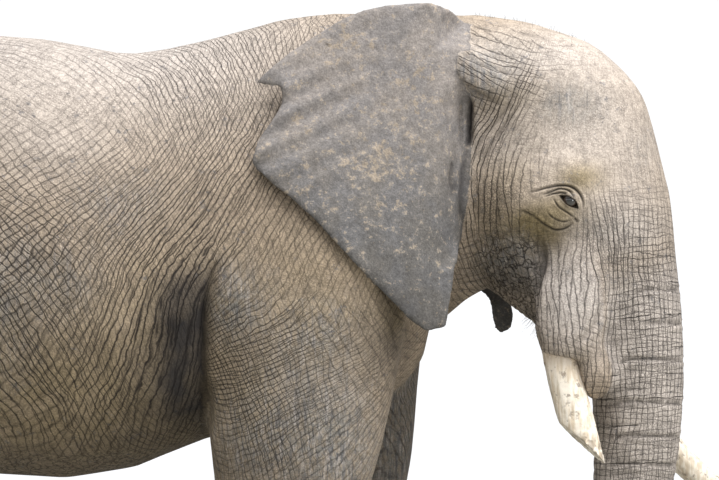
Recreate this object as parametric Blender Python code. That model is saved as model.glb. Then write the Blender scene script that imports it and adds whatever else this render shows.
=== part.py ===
"""A grown African savanna elephant, standing, at life size.

Metres, +Z up. The animal faces +X, so its right side faces -Y. While it is built, X = 0 is the line of the
right foreleg; the last step moves the origin to the middle of the footprint, on the ground.

The flesh is modelled whole: lofted trunk, limbs and head are fused into one skin-tight body, sculpted with
soft presses, and then parted with thin cuts into the pieces a person would name. Ears, eyes, tusks, toenails
and the tail's brush are made on that body and let into it.
"""

import math

import bmesh
import bpy
import numpy as np
from mathutils import Matrix, Vector
from mathutils.bvhtree import BVHTree

# ---------------------------------------------------------------- driving sizes
GAP = 0.0006  # clear space left at every cut and round every inlaid piece
HEAD_PIVOT_X = 0.45  # the neck joint that the head turns about
HEAD_TURN = math.radians(-12)  # the head looks a little to the animal's right
VOXEL = 0.020  # grain of the fused body
FIRST_FACES = 3400
FLESH_FACES = 2300  # triangles kept for the whole body
HEAD_FROM_X = 0.62
RING_POINTS = 36

SKIN_COLOUR = (0.33, 0.27, 0.22)
EAR_COLOUR = (0.20, 0.19, 0.185)
IVORY_COLOUR = (0.72, 0.62, 0.48)
NAIL_COLOUR = (0.42, 0.36, 0.29)
EYE_COLOUR = (0.035, 0.02, 0.012)
HAIR_COLOUR = (0.02, 0.018, 0.016)

# Barrel: x, top, bottom, half width, height of the widest point
BARREL = (
    (-2.42, 2.28, 1.96, 0.10, 2.12),
    (-2.35, 2.48, 1.68, 0.26, 2.06),
    (-2.16, 2.69, 1.48, 0.43, 2.06),
    (-1.86, 2.87, 1.43, 0.565, 2.08),
    (-1.50, 2.955, 1.375, 0.645, 2.06),
    (-1.07, 2.970, 1.345, 0.695, 2.02),
    (-0.85, 2.945, 1.334, 0.705, 2.00),
    (-0.59, 2.905, 1.37, 0.685, 2.02),
    (-0.30, 2.955, 1.48, 0.63, 2.08),
    (0.00, 3.028, 1.52, 0.55, 2.14),
    (0.28, 3.045, 1.60, 0.445, 2.20),
    (0.45, 3.00, 1.76, 0.33, 2.30),
)
# Neck: the same columns
NECK = (
    (0.05, 3.02, 1.66, 0.44, 2.40),
    (0.30, 3.045, 1.70, 0.42, 2.42),
    (0.47, 3.050, 1.84, 0.39, 2.45),
    (0.62, 3.045, 1.97, 0.36, 2.48),
    (0.85, 2.95, 2.10, 0.31, 2.52),
)
# Leg columns: height, centre x, half length, centre y, half width
FORELEG = (
    (-0.03, 0.035, 0.215, 0.375, 0.205),
    (0.06, 0.035, 0.250, 0.375, 0.238),
    (0.15, 0.025, 0.240, 0.372, 0.228),
    (0.30, 0.005, 0.200, 0.370, 0.192),
    (0.52, -0.005, 0.182, 0.366, 0.172),
    (0.80, 0.010, 0.205, 0.362, 0.186),
    (1.06, 0.000, 0.235, 0.364, 0.200),
    (1.32, 0.015, 0.290, 0.372, 0.222),
    (1.60, 0.038, 0.328, 0.385, 0.245),
    (1.95, 0.050, 0.370, 0.385, 0.245),
    (2.30, 0.080, 0.320, 0.340, 0.215),
    (2.62, 0.080, 0.200, 0.250, 0.150),
)
HINDLEG = (
    (-0.03, -1.905, 0.205, 0.350, 0.175),
    (0.06, -1.900, 0.240, 0.350, 0.200),
    (0.15, -1.915, 0.225, 0.350, 0.192),
    (0.30, -1.955, 0.180, 0.350, 0.165),
    (0.52, -1.975, 0.165, 0.348, 0.152),
    (0.80, -1.950, 0.180, 0.345, 0.165),
    (1.06, -1.885, 0.225, 0.350, 0.185),
    (1.32, -1.845, 0.310, 0.365, 0.215),
    (1.62, -1.870, 0.410, 0.380, 0.245),
    (1.95, -1.950, 0.430, 0.370, 0.250),
    (2.25, -2.000, 0.360, 0.310, 0.225),
    (2.52, -1.990, 0.230, 0.210, 0.160),
)
# The step of each leg: side (-1 right, +1 left), rows, x shift of the whole leg, further x shift at the sole
STANCE = {
    "foreleg_right": (-1, FORELEG, 0.00, 0.00),
    "foreleg_left": (1, FORELEG, 0.06, 0.20),
    "hindleg_right": (-1, HINDLEG, 0.00, -0.10),
    "hindleg_left": (1, HINDLEG, 0.00, 0.12),
}
STRIDE_TOP = 2.1  # the further shift fades out at this height

# Head, level and unturned. Skull: height, back, front, half width
SKULL = (
    (3.035, 0.60, 0.76, 0.08),
    (2.995, 0.52, 0.92, 0.19),
    (2.90, 0.45, 1.130, 0.285),
    (2.76, 0.42, 1.282, 0.325),
    (2.56, 0.45, 1.358, 0.335),
    (2.41, 0.50, 1.400, 0.340),
    (2.26, 0.60, 1.420, 0.325),
    (2.12, 0.70, 1.432, 0.285),
    (2.00, 0.86, 1.432, 0.240),
)
# Trunk: centre x, height, half depth, half width
TRUNK = (
    (1.135, 2.40, 0.240, 0.250),
    (1.185, 2.17, 0.240, 0.240),
    (1.235, 1.98, 0.216, 0.220),
    (1.272, 1.83, 0.188, 0.202),
    (1.292, 1.66, 0.168, 0.184),
    (1.290, 1.50, 0.158, 0.171),
    (1.274, 1.32, 0.146, 0.159),
    (1.252, 1.05, 0.131, 0.142),
    (1.242, 0.80, 0.116, 0.126),
    (1.256, 0.58, 0.103, 0.111),
    (1.296, 0.42, 0.092, 0.098),
    (1.366, 0.315, 0.082, 0.088),
    (1.461, 0.270, 0.073, 0.080),
    (1.551, 0.280, 0.066, 0.074),
)
# Tusk sheath: centre x, centre y, height, half depth, half width
SHEATH = (
    (1.120, 0.150, 2.32, 0.150, 0.125),
    (1.100, 0.190, 2.12, 0.148, 0.128),
    (1.088, 0.222, 1.98, 0.143, 0.122),
    (1.082, 0.240, 1.86, 0.130, 0.112),
    (1.092, 0.248, 1.77, 0.104, 0.096),
)
# Lower jaw: centre x, height, half depth, half width
JAW = (
    (0.800, 2.34, 0.165, 0.265),
    (0.820, 2.19, 0.150, 0.245),
    (0.862, 2.085, 0.122, 0.200),
    (0.915, 2.005, 0.092, 0.142),
    (0.965, 1.930, 0.064, 0.088),
    (0.995, 1.860, 0.040, 0.050),
    (1.005, 1.815, 0.022, 0.026),
)
# Tail: x, y, height, radius
TAIL = (
    (-2.26, 0.00, 2.55, 0.085),
    (-2.41, 0.00, 2.44, 0.072),
    (-2.505, 0.01, 2.23, 0.054),
    (-2.535, 0.02, 1.90, 0.040),
    (-2.53, 0.03, 1.60, 0.031),
    (-2.51, 0.04, 1.36, 0.024),
)
TAIL_BRUSH = (
    (-2.511, 0.04, 1.375, 0.021),
    (-2.505, 0.042, 1.29, 0.050),
    (-2.495, 0.045, 1.15, 0.056),
    (-2.485, 0.048, 1.02, 0.034),
    (-2.480, 0.050, 0.92, 0.010),
)
# Tusks, unturned: x, side distance, height, radius. The right one is broken short, the left one is whole.
TUSK_RIGHT = (
    (1.022, 0.235, 1.960, 0.058),
    (1.034, 0.242, 1.860, 0.061),
    (1.052, 0.250, 1.766, 0.062),
    (1.085, 0.262, 1.623, 0.061),
    (1.120, 0.275, 1.515, 0.060),
    (1.158, 0.290, 1.386, 0.056),
    (1.185, 0.300, 1.290, 0.050),
)
TUSK_LEFT = (
    (1.035, 0.225, 1.96, 0.060),
    (1.065, 0.235, 1.86, 0.064),
    (1.120, 0.252, 1.745, 0.064),
    (1.250, 0.292, 1.575, 0.058),
    (1.395, 0.330, 1.405, 0.050),
    (1.530, 0.360, 1.285, 0.040),
    (1.660, 0.380, 1.205, 0.027),
    (1.765, 0.388, 1.172, 0.008),
)
BREAK_POINT = (1.131, 0.280, 1.465)  # on the oblique face where the right tusk snapped
BREAK_NORMAL = (-0.64, -0.26, -0.72)
EYE_SPOT = (1.094, 2.341)  # x and height of the eye on the side of the head
EYE_RADIUS = 0.031
EYE_SINK = 0.018  # the ball's centre lies this far under the skin

# Swellings and hollows pressed into the fused body: centre, reach, push outwards (+) or inwards (-).
# Head ones are unturned; each is made on both sides.
HEAD_PRESSES = (
    ((1.13, 0.34, 2.60), 0.16, -0.042),  # temple hollow
    ((1.00, 0.36, 2.47), 0.11, -0.012),
    ((1.10, 0.34, 2.440), 0.075, 0.024),  # brow over the eye
    ((1.17, 0.33, 2.33), 0.060, 0.012),
    ((1.090, 0.36, 2.341), 0.055, -0.014),  # eye pit
    ((0.95, 0.35, 2.30), 0.11, 0.026),  # cheekbone
    ((0.985, 0.30, 2.165), 0.085, -0.040),  # hollow between cheek and tusk sheath
    ((0.82, 0.33, 2.56), 0.12, -0.020),
    ((1.29, 0.17, 2.20), 0.090, -0.004),  # shallow groove between sheath and trunk
    ((1.20, 0.21, 1.84), 0.055, -0.004),
    ((1.15, 0.12, 2.93), 0.13, 0.016),  # twin domes of the forehead
    ((1.33, 0.10, 2.72), 0.14, 0.010),
)
BODY_PRESSES = (
    ((-1.62, 0.66, 2.42), 0.24, -0.045),  # hollow of the flank, before the hip
    ((-1.90, 0.48, 2.66), 0.16, 0.030),  # point of the hip
    ((-0.44, 0.68, 2.20), 0.22, -0.030),  # behind the shoulder blade
    ((0.02, 0.56, 2.52), 0.22, 0.024),  # shoulder blade
    ((0.28, 0.52, 2.10), 0.18, 0.030),  # point of the shoulder
    ((-0.42, 0.66, 1.74), 0.16, -0.034),  # armpit behind the elbow
    ((-0.285, 0.60, 1.64), 0.085, -0.040),  # cleft between the elbow and the ribs
    ((-0.280, 0.60, 1.79), 0.085, -0.040),
    ((-0.270, 0.60, 1.93), 0.075, -0.022),
    ((-1.42, 0.62, 1.55), 0.16, -0.030),  # groin before the thigh
    ((-0.22, 0.57, 1.56), 0.13, 0.014),  # elbow
)


# ---------------------------------------------------------------- helpers
def smooth_rows(rows, count):
    """Rows of numbers read off a smooth curve through the given rows, evenly by distance."""
    table = np.array(rows, float)
    steps = np.linalg.norm(np.diff(table[:, :3], axis=0), axis=1)
    at = np.concatenate([[0], np.cumsum(steps)])
    slope = np.gradient(table, at, axis=0)
    wanted = np.linspace(0, at[-1], count)
    seat = np.clip(np.searchsorted(at, wanted, side="right") - 1, 0, len(at) - 2)
    width = (at[seat + 1] - at[seat])[:, None]
    t = ((wanted - at[seat])[:, None]) / width
    start, end = table[seat], table[seat + 1]
    h00 = 2 * t**3 - 3 * t**2 + 1
    h10 = t**3 - 2 * t**2 + t
    h01 = 3 * t**2 - 2 * t**3
    h11 = t**3 - t**2
    return h00 * start + h10 * width * slope[seat] + h01 * end + h11 * width * slope[seat + 1]


def ring(centre, side, up, half_side, half_up, half_down, power=2.0, points=RING_POINTS):
    """A closed rounded outline: an ellipse at power 2, squarer above it, with its own depth above and below."""
    made = []
    for index in range(points):
        angle = 2 * math.pi * index / points
        c, s = math.cos(angle), math.sin(angle)
        across = math.copysign(abs(c) ** (2 / power), c) * half_side
        height = math.copysign(abs(s) ** (2 / power), s) * (half_up if s > 0 else half_down)
        made.append(Vector(centre) + Vector(side) * across + Vector(up) * height)
    return made


def new_object(name, mesh):
    made = bpy.data.objects.new(name, mesh)
    bpy.context.scene.collection.objects.link(made)
    return made


def loft(name, rings, place=None):
    """Skins a row of rings and closes both ends, with the faces outwards."""
    work = bmesh.new()
    rows = [[work.verts.new(point) for point in outline] for outline in rings]
    for first, second in zip(rows, rows[1:]):
        for index in range(len(first)):
            after = (index + 1) % len(first)
            work.faces.new((first[index], first[after], second[after], second[index]))
    work.faces.new(rows[0])
    work.faces.new(rows[-1])
    bmesh.ops.recalc_face_normals(work, faces=work.faces)
    if place is not None:
        work.transform(place)
    mesh = bpy.data.meshes.new(name)
    work.to_mesh(mesh)
    work.free()
    return new_object(name, mesh)


def tube(name, points, depths, widths, side=(0, 1, 0), place=None, power=2.0, ring_points=RING_POINTS):
    """A loft of rings set square to a path; depth lies in the path's plane and width along side."""
    centres = [Vector(point) for point in points]
    rings = []
    for index, centre in enumerate(centres):
        before = centres[max(index - 1, 0)]
        after = centres[min(index + 1, len(centres) - 1)]
        along = (after - before).normalized()
        across = (Vector(side) - along * along.dot(Vector(side))).normalized()
        up = across.cross(along)
        rings.append(
            ring(centre, across, up, widths[index], depths[index], depths[index], power, ring_points)
        )
    return loft(name, rings, place)


def head_place():
    """Turns the level head about the neck."""
    pivot = Vector((HEAD_PIVOT_X, 0, 0))
    return Matrix.Translation(pivot) @ Matrix.Rotation(HEAD_TURN, 4, "Z") @ Matrix.Translation(-pivot)


def turned(point):
    return head_place() @ Vector(point)


def ellipsoid(name, centre, sizes, place=None, segments=24, rings=14, turn=None):
    work = bmesh.new()
    bmesh.ops.create_uvsphere(work, u_segments=segments, v_segments=rings, radius=1.0)
    shape = Matrix.Translation(Vector(centre)) @ (turn or Matrix()) @ Matrix.Diagonal((*sizes, 1))
    work.transform((place or Matrix()) @ shape)
    mesh = bpy.data.meshes.new(name)
    work.to_mesh(mesh)
    work.free()
    return new_object(name, mesh)


def apply_modifier(target, kind, **settings):
    modifier = target.modifiers.new(kind.title(), kind)
    for key, value in settings.items():
        setattr(modifier, key, value)
    with bpy.context.temp_override(object=target, active_object=target, selected_objects=[target]):
        bpy.ops.object.modifier_apply(modifier=modifier.name)
    return target


def join(name, pieces):
    with bpy.context.temp_override(
        active_object=pieces[0], object=pieces[0], selected_objects=pieces, selected_editable_objects=pieces
    ):
        bpy.ops.object.join()
    pieces[0].name = name
    return pieces[0]


def fuse(name, pieces, smoothing):
    """Overlapping closed shapes become one body with soft joins."""
    body = join(name, pieces)
    apply_modifier(body, "REMESH", mode="VOXEL", voxel_size=VOXEL, adaptivity=0.0)
    apply_modifier(body, "SMOOTH", factor=0.5, iterations=smoothing)
    return body


def points_of(target):
    flat = np.empty(len(target.data.vertices) * 3)
    target.data.vertices.foreach_get("co", flat)
    return flat.reshape(-1, 3)


def set_points(target, points):
    target.data.vertices.foreach_set("co", np.ascontiguousarray(points, np.float64).ravel())
    target.data.update()


def normals_of(target):
    flat = np.empty(len(target.data.vertices) * 3, np.float32)
    target.data.vertex_normals.foreach_get("vector", flat)
    return flat.reshape(-1, 3).astype(float)


def press(target, presses, place=None):
    """Soft swellings and hollows, each on both sides of the animal."""
    for centre, reach, push in presses:
        for side in (-1, 1):
            points, normals = points_of(target), normals_of(target)
            spot = Vector((centre[0], centre[1] * side, centre[2]))
            if place is not None:
                spot = place @ spot
            away = np.linalg.norm(points - np.array(spot), axis=1) / reach
            set_points(target, points + normals * (push * np.exp(-(away**2)))[:, None])


def tree_of(target):
    work = bmesh.new()
    work.from_mesh(target.data)
    tree = BVHTree.FromBMesh(work)
    work.free()
    return tree


def boolean(target, other, operation):
    """Cuts, keeps the shared part of, or adds another closed shape, and removes that shape."""
    apply_modifier(target, "BOOLEAN", operation=operation, object=other, solver="EXACT")
    bpy.data.objects.remove(other)
    return target


def copy_of(target, name):
    made = target.copy()
    made.data = target.data.copy()
    made.name = name
    bpy.context.scene.collection.objects.link(made)
    return made


def box(name, low, high, place=None):
    work = bmesh.new()
    bmesh.ops.create_cube(work, size=1.0)
    low, high = Vector(low), Vector(high)
    shape = Matrix.Translation((low + high) / 2) @ Matrix.Diagonal((*(high - low), 1))
    work.transform((place or Matrix()) @ shape)
    mesh = bpy.data.meshes.new(name)
    work.to_mesh(mesh)
    work.free()
    return new_object(name, mesh)


# ---------------------------------------------------------------- the fused body
def barrel_rings(rows, count, power_top, power_low):
    rings = []
    for x, top, bottom, half, widest in smooth_rows(rows, count):
        upper = ring((x, 0, widest), (0, 1, 0), (0, 0, 1), half, top - widest, widest - bottom, power_top)
        lower = ring((x, 0, widest), (0, 1, 0), (0, 0, 1), half, top - widest, widest - bottom, power_low)
        rings.append([high if high.z >= widest else low for high, low in zip(upper, lower)])
    return rings


def leg(name):
    side, rows, shift_all, step = STANCE[name]
    rings = []
    for height, x, long, y, wide in smooth_rows(rows, 40):
        shift = shift_all + step * max(0.0, 1 - max(height, 0) / STRIDE_TOP)
        rings.append(
            ring((x + shift, side * y, height), (1, 0, 0), (0, side, 0), long, wide, wide, 2.15)
        )
    return loft(name, rings)


def skull():
    rings = []
    for height, back, front, half in smooth_rows(SKULL, 30):
        centre = ((back + front) / 2, 0, height)
        rings.append(ring(centre, (1, 0, 0), (0, 1, 0), (front - back) / 2, half, half, 2.25))
    return loft("skull", rings, head_place())


def trunk():
    rows = smooth_rows([(x, height, deep, wide) for x, height, deep, wide in TRUNK], 60)
    path = [(x, 0, height) for x, height, _, _ in rows]
    body = tube("trunk", path, rows[:, 2], rows[:, 3], place=head_place(), power=2.1)
    tip_x, tip_z, deep, _ = TRUNK[-1]
    upper = ellipsoid("finger", (tip_x + 0.020, 0, tip_z + deep * 0.62), (0.052, 0.026, 0.020), head_place())
    lower = ellipsoid("finger", (tip_x + 0.012, 0, tip_z - deep * 0.62), (0.044, 0.040, 0.020), head_place())
    return [body, upper, lower]


def sheath(side):
    rows = smooth_rows([(x, side * y, height, deep, wide) for x, y, height, deep, wide in SHEATH], 16)
    path = [tuple(row[:3]) for row in rows]
    body = tube("sheath", path, rows[:, 3], rows[:, 4], place=head_place(), power=2.1)
    lip = ellipsoid("lip", (1.166, side * 0.228, 1.722), (0.070, 0.080, 0.108), head_place())
    return [body, lip]


def jaw():
    rows = smooth_rows([(x, height, deep, wide) for x, height, deep, wide in JAW], 24)
    path = [(x, 0, height) for x, height, _, _ in rows]
    return tube("jaw", path, rows[:, 2], rows[:, 3], place=head_place(), power=2.2)


def ear_root(side):
    """The thick fold of muscle that carries the ear, from the crown down towards the temple."""
    start, end = Vector((0.60, side * 0.300, 2.90)), Vector((0.90, side * 0.318, 2.70))
    points = [start.lerp(end, share) for share in np.linspace(0, 1, 9)]
    sizes = [0.075 * math.sin(math.pi * (0.16 + 0.68 * share)) for share in np.linspace(0, 1, 9)]
    return tube("ear_root", points, sizes, [size * 0.9 for size in sizes], (0, 1, 0), head_place())


def brisket(side):
    """The rounded mass of chest muscle on each side, over the root of the foreleg."""
    return ellipsoid("brisket", (0.205, side * 0.16, 1.87), (0.305, 0.23, 0.27))


def tail():
    rows = smooth_rows(TAIL, 26)
    return tube("tail", [tuple(row[:3]) for row in rows], rows[:, 3], rows[:, 3] * 0.9)


def make_flesh():
    barrel = loft("barrel", barrel_rings(BARREL, 46, 1.85, 2.25))
    neck = loft("neck", barrel_rings(NECK, 20, 2.0, 2.1))
    roots = [ear_root(side) for side in (-1, 1)]
    chest = [brisket(side) for side in (-1, 1)]
    first = [barrel, neck, skull(), *roots, *chest, *[leg(name) for name in STANCE]]
    body = fuse("flesh", first, 14)
    press(body, BODY_PRESSES)
    details = [*trunk(), *sheath(-1), *sheath(1), jaw(), tail()]
    body = fuse("flesh", [body, *details], 4)
    press(body, HEAD_PRESSES, head_place())
    return body


def thin_out(body):
    """Keeps the faces where the form turns quickest: first everywhere, then off the head alone."""
    for kept, settings in ((FIRST_FACES, {}), (FLESH_FACES, {"vertex_group": "plain"})):
        points = points_of(body)
        plain = np.flatnonzero((points[:, 0] < HEAD_FROM_X) | (points[:, 2] < 1.3))
        body.vertex_groups.new(name="plain").add([int(index) for index in plain], 1.0, "REPLACE")
        triangles = sum(len(face.vertices) - 2 for face in body.data.polygons)
        apply_modifier(
            body, "DECIMATE", ratio=kept / triangles, use_collapse_triangulate=True, **settings
        )
        body.vertex_groups.clear()
    return body


# ---------------------------------------------------------------- ears
# Right ear's outline in the side view: x and height, from the top of its root round the back to the lobe.
EAR_OUTLINE = (
    (0.650, 2.985), (0.570, 3.040), (0.400, 3.048), (0.225, 3.008), (0.110, 2.938), (-0.010, 2.856),
    (-0.080, 2.792), (-0.112, 2.762), (-0.060, 2.744), (-0.010, 2.738), (-0.012, 2.705), (-0.045, 2.640),
    (-0.118, 2.520), (-0.130, 2.468), (-0.060, 2.400), (0.070, 2.292), (0.215, 2.138), (0.370, 1.978),
    (0.478, 1.876), (0.525, 1.859), (0.562, 1.882), (0.574, 1.950), (0.602, 2.090), (0.622, 2.250),
    (0.640, 2.340), (0.650, 2.500), (0.650, 2.750),
)  # fmt: skip
EAR_FIELD = (-0.18, 1.78, 0.96, 1.35)  # low corner and size of the sheet, in x and height
EAR_ROOT_X = 0.66
EAR_ROOT_LOW = 2.16  # the lobe hangs free below this height
EAR_ROOT_REACH = 0.17  # the ear rises off the head over this distance behind its root
EAR_ROOT_DEPTH = 0.030
EAR_LIFT = 0.028
EAR_CELL = 0.100
EAR_EDGE_POINTS = 42
EAR_THICKNESS = 0.020
# Side, how far it's held open at the top and at the lobe, how far the lobe swings forward, its root's shift
# with the turned head, and how much lower its top stands
EARS = {
    "ear_right": (-1, (math.radians(2), math.radians(2)), 0.0, 0.0, 0.0),
    "ear_left": (1, (math.radians(44), math.radians(62)), math.radians(7), 0.122, 0.075),
}


def ear_ripples(x, z):
    """Soft folds that fan from the notch at the back, and a flap that curls out above it."""
    along = 0.80 * (x + 0.10) + 0.60 * (z - 2.72)
    across = -0.60 * (x + 0.10) + 0.80 * (z - 2.72)
    fade = math.exp(-((along / 0.42) ** 2)) * math.exp(-(((across + 0.10) / 0.30) ** 2))
    folds = 0.011 * math.sin(across * 2 * math.pi / 0.150) * fade
    flap = 0.050 * math.exp(-(((x + 0.08) / 0.11) ** 2) - ((z - 2.770) / 0.050) ** 2)
    return folds + flap


def held_open(flare, z):
    return flare[1] + (flare[0] - flare[1]) * min(1.0, max(0.0, (z - 2.0) / 0.9))


def ear_place(x, z, flare, swing, shift, drop):
    """Where a spot of the flat ear outline comes to: swung open about its root and shifted with the head."""
    back = EAR_ROOT_X - x
    placed_x = EAR_ROOT_X + shift - back * math.cos(held_open(flare, z)) + math.sin(swing) * (2.75 - z)
    return placed_x, z - drop * max(0.0, z - 1.9) / 1.15


def ear_sheet(name, side, flare, swing, shift, drop, body_tree):
    """A sheet draped outside the neck and shoulder, cut to the ear's outline."""
    columns, rows = (int(size / EAR_CELL) for size in EAR_FIELD[2:])
    floor_of = np.zeros((columns + 1, rows + 1))
    spots = {}
    for i in range(columns + 1):
        for j in range(rows + 1):
            x, z = EAR_FIELD[0] + i * EAR_CELL, EAR_FIELD[1] + j * EAR_CELL
            seat, level = ear_place(x, z, flare, swing, shift, drop)
            spots[i, j] = (x, z, seat, level)
            hit = body_tree.ray_cast(Vector((seat, side * 3.0, level)), Vector((0, -side, 0)))[0]
            floor_of[i, j] = abs(hit.y) if hit else 0.30
    outward = floor_of.copy()
    for _ in range(40):
        padded = np.pad(outward, 1, mode="edge")
        mean = (padded[:-2, 1:-1] + padded[2:, 1:-1] + padded[1:-1, :-2] + padded[1:-1, 2:]) / 4
        outward = np.maximum(mean, floor_of)
    root_line = floor_of[int((EAR_ROOT_X - EAR_FIELD[0]) / EAR_CELL)]
    work = bmesh.new()
    grid = {}
    for (i, j), (x, z, seat, level) in spots.items():
        back = max(0.0, EAR_ROOT_X - x)
        draped = max(outward[i, j], root_line[j] + back * math.sin(held_open(flare, z)))
        draped += EAR_LIFT + ear_ripples(x, z)
        rooted = floor_of[i, j] - EAR_ROOT_DEPTH
        share = min(1.0, back / EAR_ROOT_REACH) if z > EAR_ROOT_LOW else 1.0
        share = share * share * (3 - 2 * share)
        grid[i, j] = work.verts.new((seat, side * (rooted + (draped - rooted) * share), level))
    for i in range(columns):
        for j in range(rows):
            face = (grid[i, j], grid[i + 1, j], grid[i + 1, j + 1], grid[i, j + 1])
            work.faces.new(face if side < 0 else face[::-1])
    mesh = bpy.data.meshes.new(name)
    work.to_mesh(mesh)
    work.free()
    sheet = new_object(name, mesh)
    apply_modifier(sheet, "SOLIDIFY", thickness=EAR_THICKNESS, offset=1.0)
    outline = []
    for x, z in smooth_outline(EAR_OUTLINE, EAR_EDGE_POINTS):
        outline.append(ear_place(x, z, flare, swing, shift, drop))
    rings = [[Vector((x, side * y, z)) for x, z in outline] for y in (0.05, 2.4)]
    return boolean(sheet, loft("ear_cutter", rings), "INTERSECT")


def smooth_outline(points, count):
    """A closed curve through the points; a stretch between two near points keeps its corner."""
    closed = [(x, z, 0.0) for x, z in (*points, points[0])]
    return [(x, z) for x, z, _ in smooth_rows(closed, count + 1)[:-1]]


# ---------------------------------------------------------------- eyes, tusks and nails
def eye_centre(side, body_tree):
    x, height = EYE_SPOT
    start, aim = turned((x, side * 2.0, height)), turned((x, 0, height))
    inward = (aim - start).normalized()
    hit = body_tree.ray_cast(start, inward)[0]
    return hit + inward * EYE_SINK


def tusk(name, rows, side, grow=0.0):
    table = smooth_rows([(x, side * y, height, radius) for x, y, height, radius in rows], 11)
    sizes = table[:, 3] + grow
    path = [Vector(row[:3]) for row in table]
    path[0] += (path[0] - path[1]).normalized() * grow
    body = tube(name, path, sizes * 1.06, sizes * 0.94, place=head_place(), ring_points=11)
    if rows is TUSK_RIGHT:
        normal = Vector((BREAK_NORMAL[0], BREAK_NORMAL[1] * -side, BREAK_NORMAL[2])).normalized()
        spot = Vector((BREAK_POINT[0], side * BREAK_POINT[1], BREAK_POINT[2]))
        facing = normal.to_track_quat("Z", "Y").to_matrix().to_4x4()
        snap = head_place() @ Matrix.Translation(spot) @ facing
        boolean(body, box("snap", (-0.4, -0.4, 0.0), (0.4, 0.4, 0.5), snap), "DIFFERENCE")
    return body


NAIL_ANGLES = {"fore": (-62, -22, 18, 58), "hind": (-42, 0, 42)}
NAIL_SIZES = {"fore": (0.026, 0.056, 0.058), "hind": (0.024, 0.056, 0.052)}
NAIL_HEIGHT = 0.062


def nail_places(leg_name, body_tree):
    """Where each toenail sits on a foot, and the way it faces."""
    side, rows, shift_all, step = STANCE[leg_name]
    kind = leg_name[:4]
    _, x, _, y, _ = rows[1]
    middle = Vector((x + shift_all + step, side * y, NAIL_HEIGHT))
    for angle in NAIL_ANGLES[kind]:
        turn = math.radians(angle * -side)
        out = Vector((math.cos(turn), math.sin(turn), 0))
        hit = body_tree.ray_cast(middle + out * 0.34, -out)[0]
        yield hit - out * 0.008, Matrix.Rotation(turn, 4, "Z")


def nail(name, spot, turn, kind, grow=0.0):
    """A domed horny plate, flat at the ground and thicker below."""
    deep, wide, tall = (size + grow for size in NAIL_SIZES[kind])
    lean = turn @ Matrix.Rotation(math.radians(-16), 4, "Y")
    return ellipsoid(name, spot, (deep, wide, tall), None, 8, 5, lean)


# ---------------------------------------------------------------- parting the body
def arch_region(name, leg_name, grow):
    """The block of flesh that belongs to a leg: an arch that widens outwards from the armpit or groin."""
    side, _, shift_all, step = STANCE[leg_name]
    fore = leg_name.startswith("fore")
    x_mid = (0.03 if fore else -1.93) + shift_all + step * 0.25
    inner = (0.12, 0.36 if fore else 0.40, 1.34)
    outer = (1.10, 0.50 if fore else 0.58, 1.72)
    rings = []
    for y, radius, spring in (inner, outer):
        y_cut = y - grow if y == inner[0] else y
        outline = []
        for index in range(17):
            angle = math.pi * index / 16
            reach = radius + grow
            outline.append((x_mid + reach * math.cos(angle), spring + reach * math.sin(angle)))
        outline.append((x_mid - radius - grow, -0.2))
        outline.append((x_mid + radius + grow, -0.2))
        rings.append([Vector((x, side * y_cut, z)) for x, z in outline])
    return loft(name, rings)


def half_space(name, point, normal, place=None, size=3.0):
    """A big block that starts at a plane and fills the side its normal points to."""
    facing = Vector(normal).normalized().to_track_quat("Z", "Y").to_matrix().to_4x4()
    base = (place or Matrix()) @ Matrix.Translation(Vector(point)) @ facing
    return box(name, (-size, -size, 0), (size, size, size), base)


def jaw_region(grow):
    outline = [(0.70, -0.45), (0.938, -0.45), (0.938, -0.092), (1.12, -0.060)]
    outline += [(x, -y) for x, y in reversed(outline)]
    rings = []
    for level in (1.60, None):
        rings.append(
            [Vector((x + (grow if x > 0.71 else -grow), y + math.copysign(grow, y),
                     (2.17 - (x - 0.70) * 0.62 + grow) if level is None else level))
             for x, y in outline]
        )  # fmt: skip
    return loft("jaw_region", rings, head_place())


def along_axis(points, index, place):
    """A plane square to the trunk's or tail's own line."""
    here = Vector(points[index])
    way = (Vector(points[index + 1]) - Vector(points[index - 1])).normalized()
    moved = place or Matrix()
    return moved @ here, (moved.to_3x3() @ way).normalized()


def take(body, name, region):
    """Lifts the flesh inside a region out of the body as its own piece. region(grow) makes the block."""
    piece = boolean(copy_of(body, name), region(-GAP / 2), "INTERSECT")
    boolean(body, region(GAP / 2), "DIFFERENCE")
    return piece


def tail_region(grow):
    """A wider tube round the hanging part of the tail."""
    rows = smooth_rows(((-2.455, 0.005, 2.355, 0.085), *TAIL[2:], (-2.50, 0.05, 1.1, 0.04)), 12)
    wide = rows[:, 3] * 1.45 + grow
    path = [tuple(row[:3]) for row in rows]
    path[0] = (path[0][0] + grow * 0.4, path[0][1], path[0][2] + grow)
    return tube("tail_region", path, wide, wide, ring_points=12)


def foot_region(leg_name, top):
    side, rows, shift_all, step = STANCE[leg_name]
    x = rows[1][1] + shift_all + step

    def region(grow):
        ground = 0.0 if grow < 0 else -0.3
        low = (x - 0.40, side * 0.02 if side > 0 else -0.9, ground)
        high = (x + 0.40, 0.9 if side > 0 else -0.02, top + grow)
        return box("foot_region", low, high)

    return region


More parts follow.
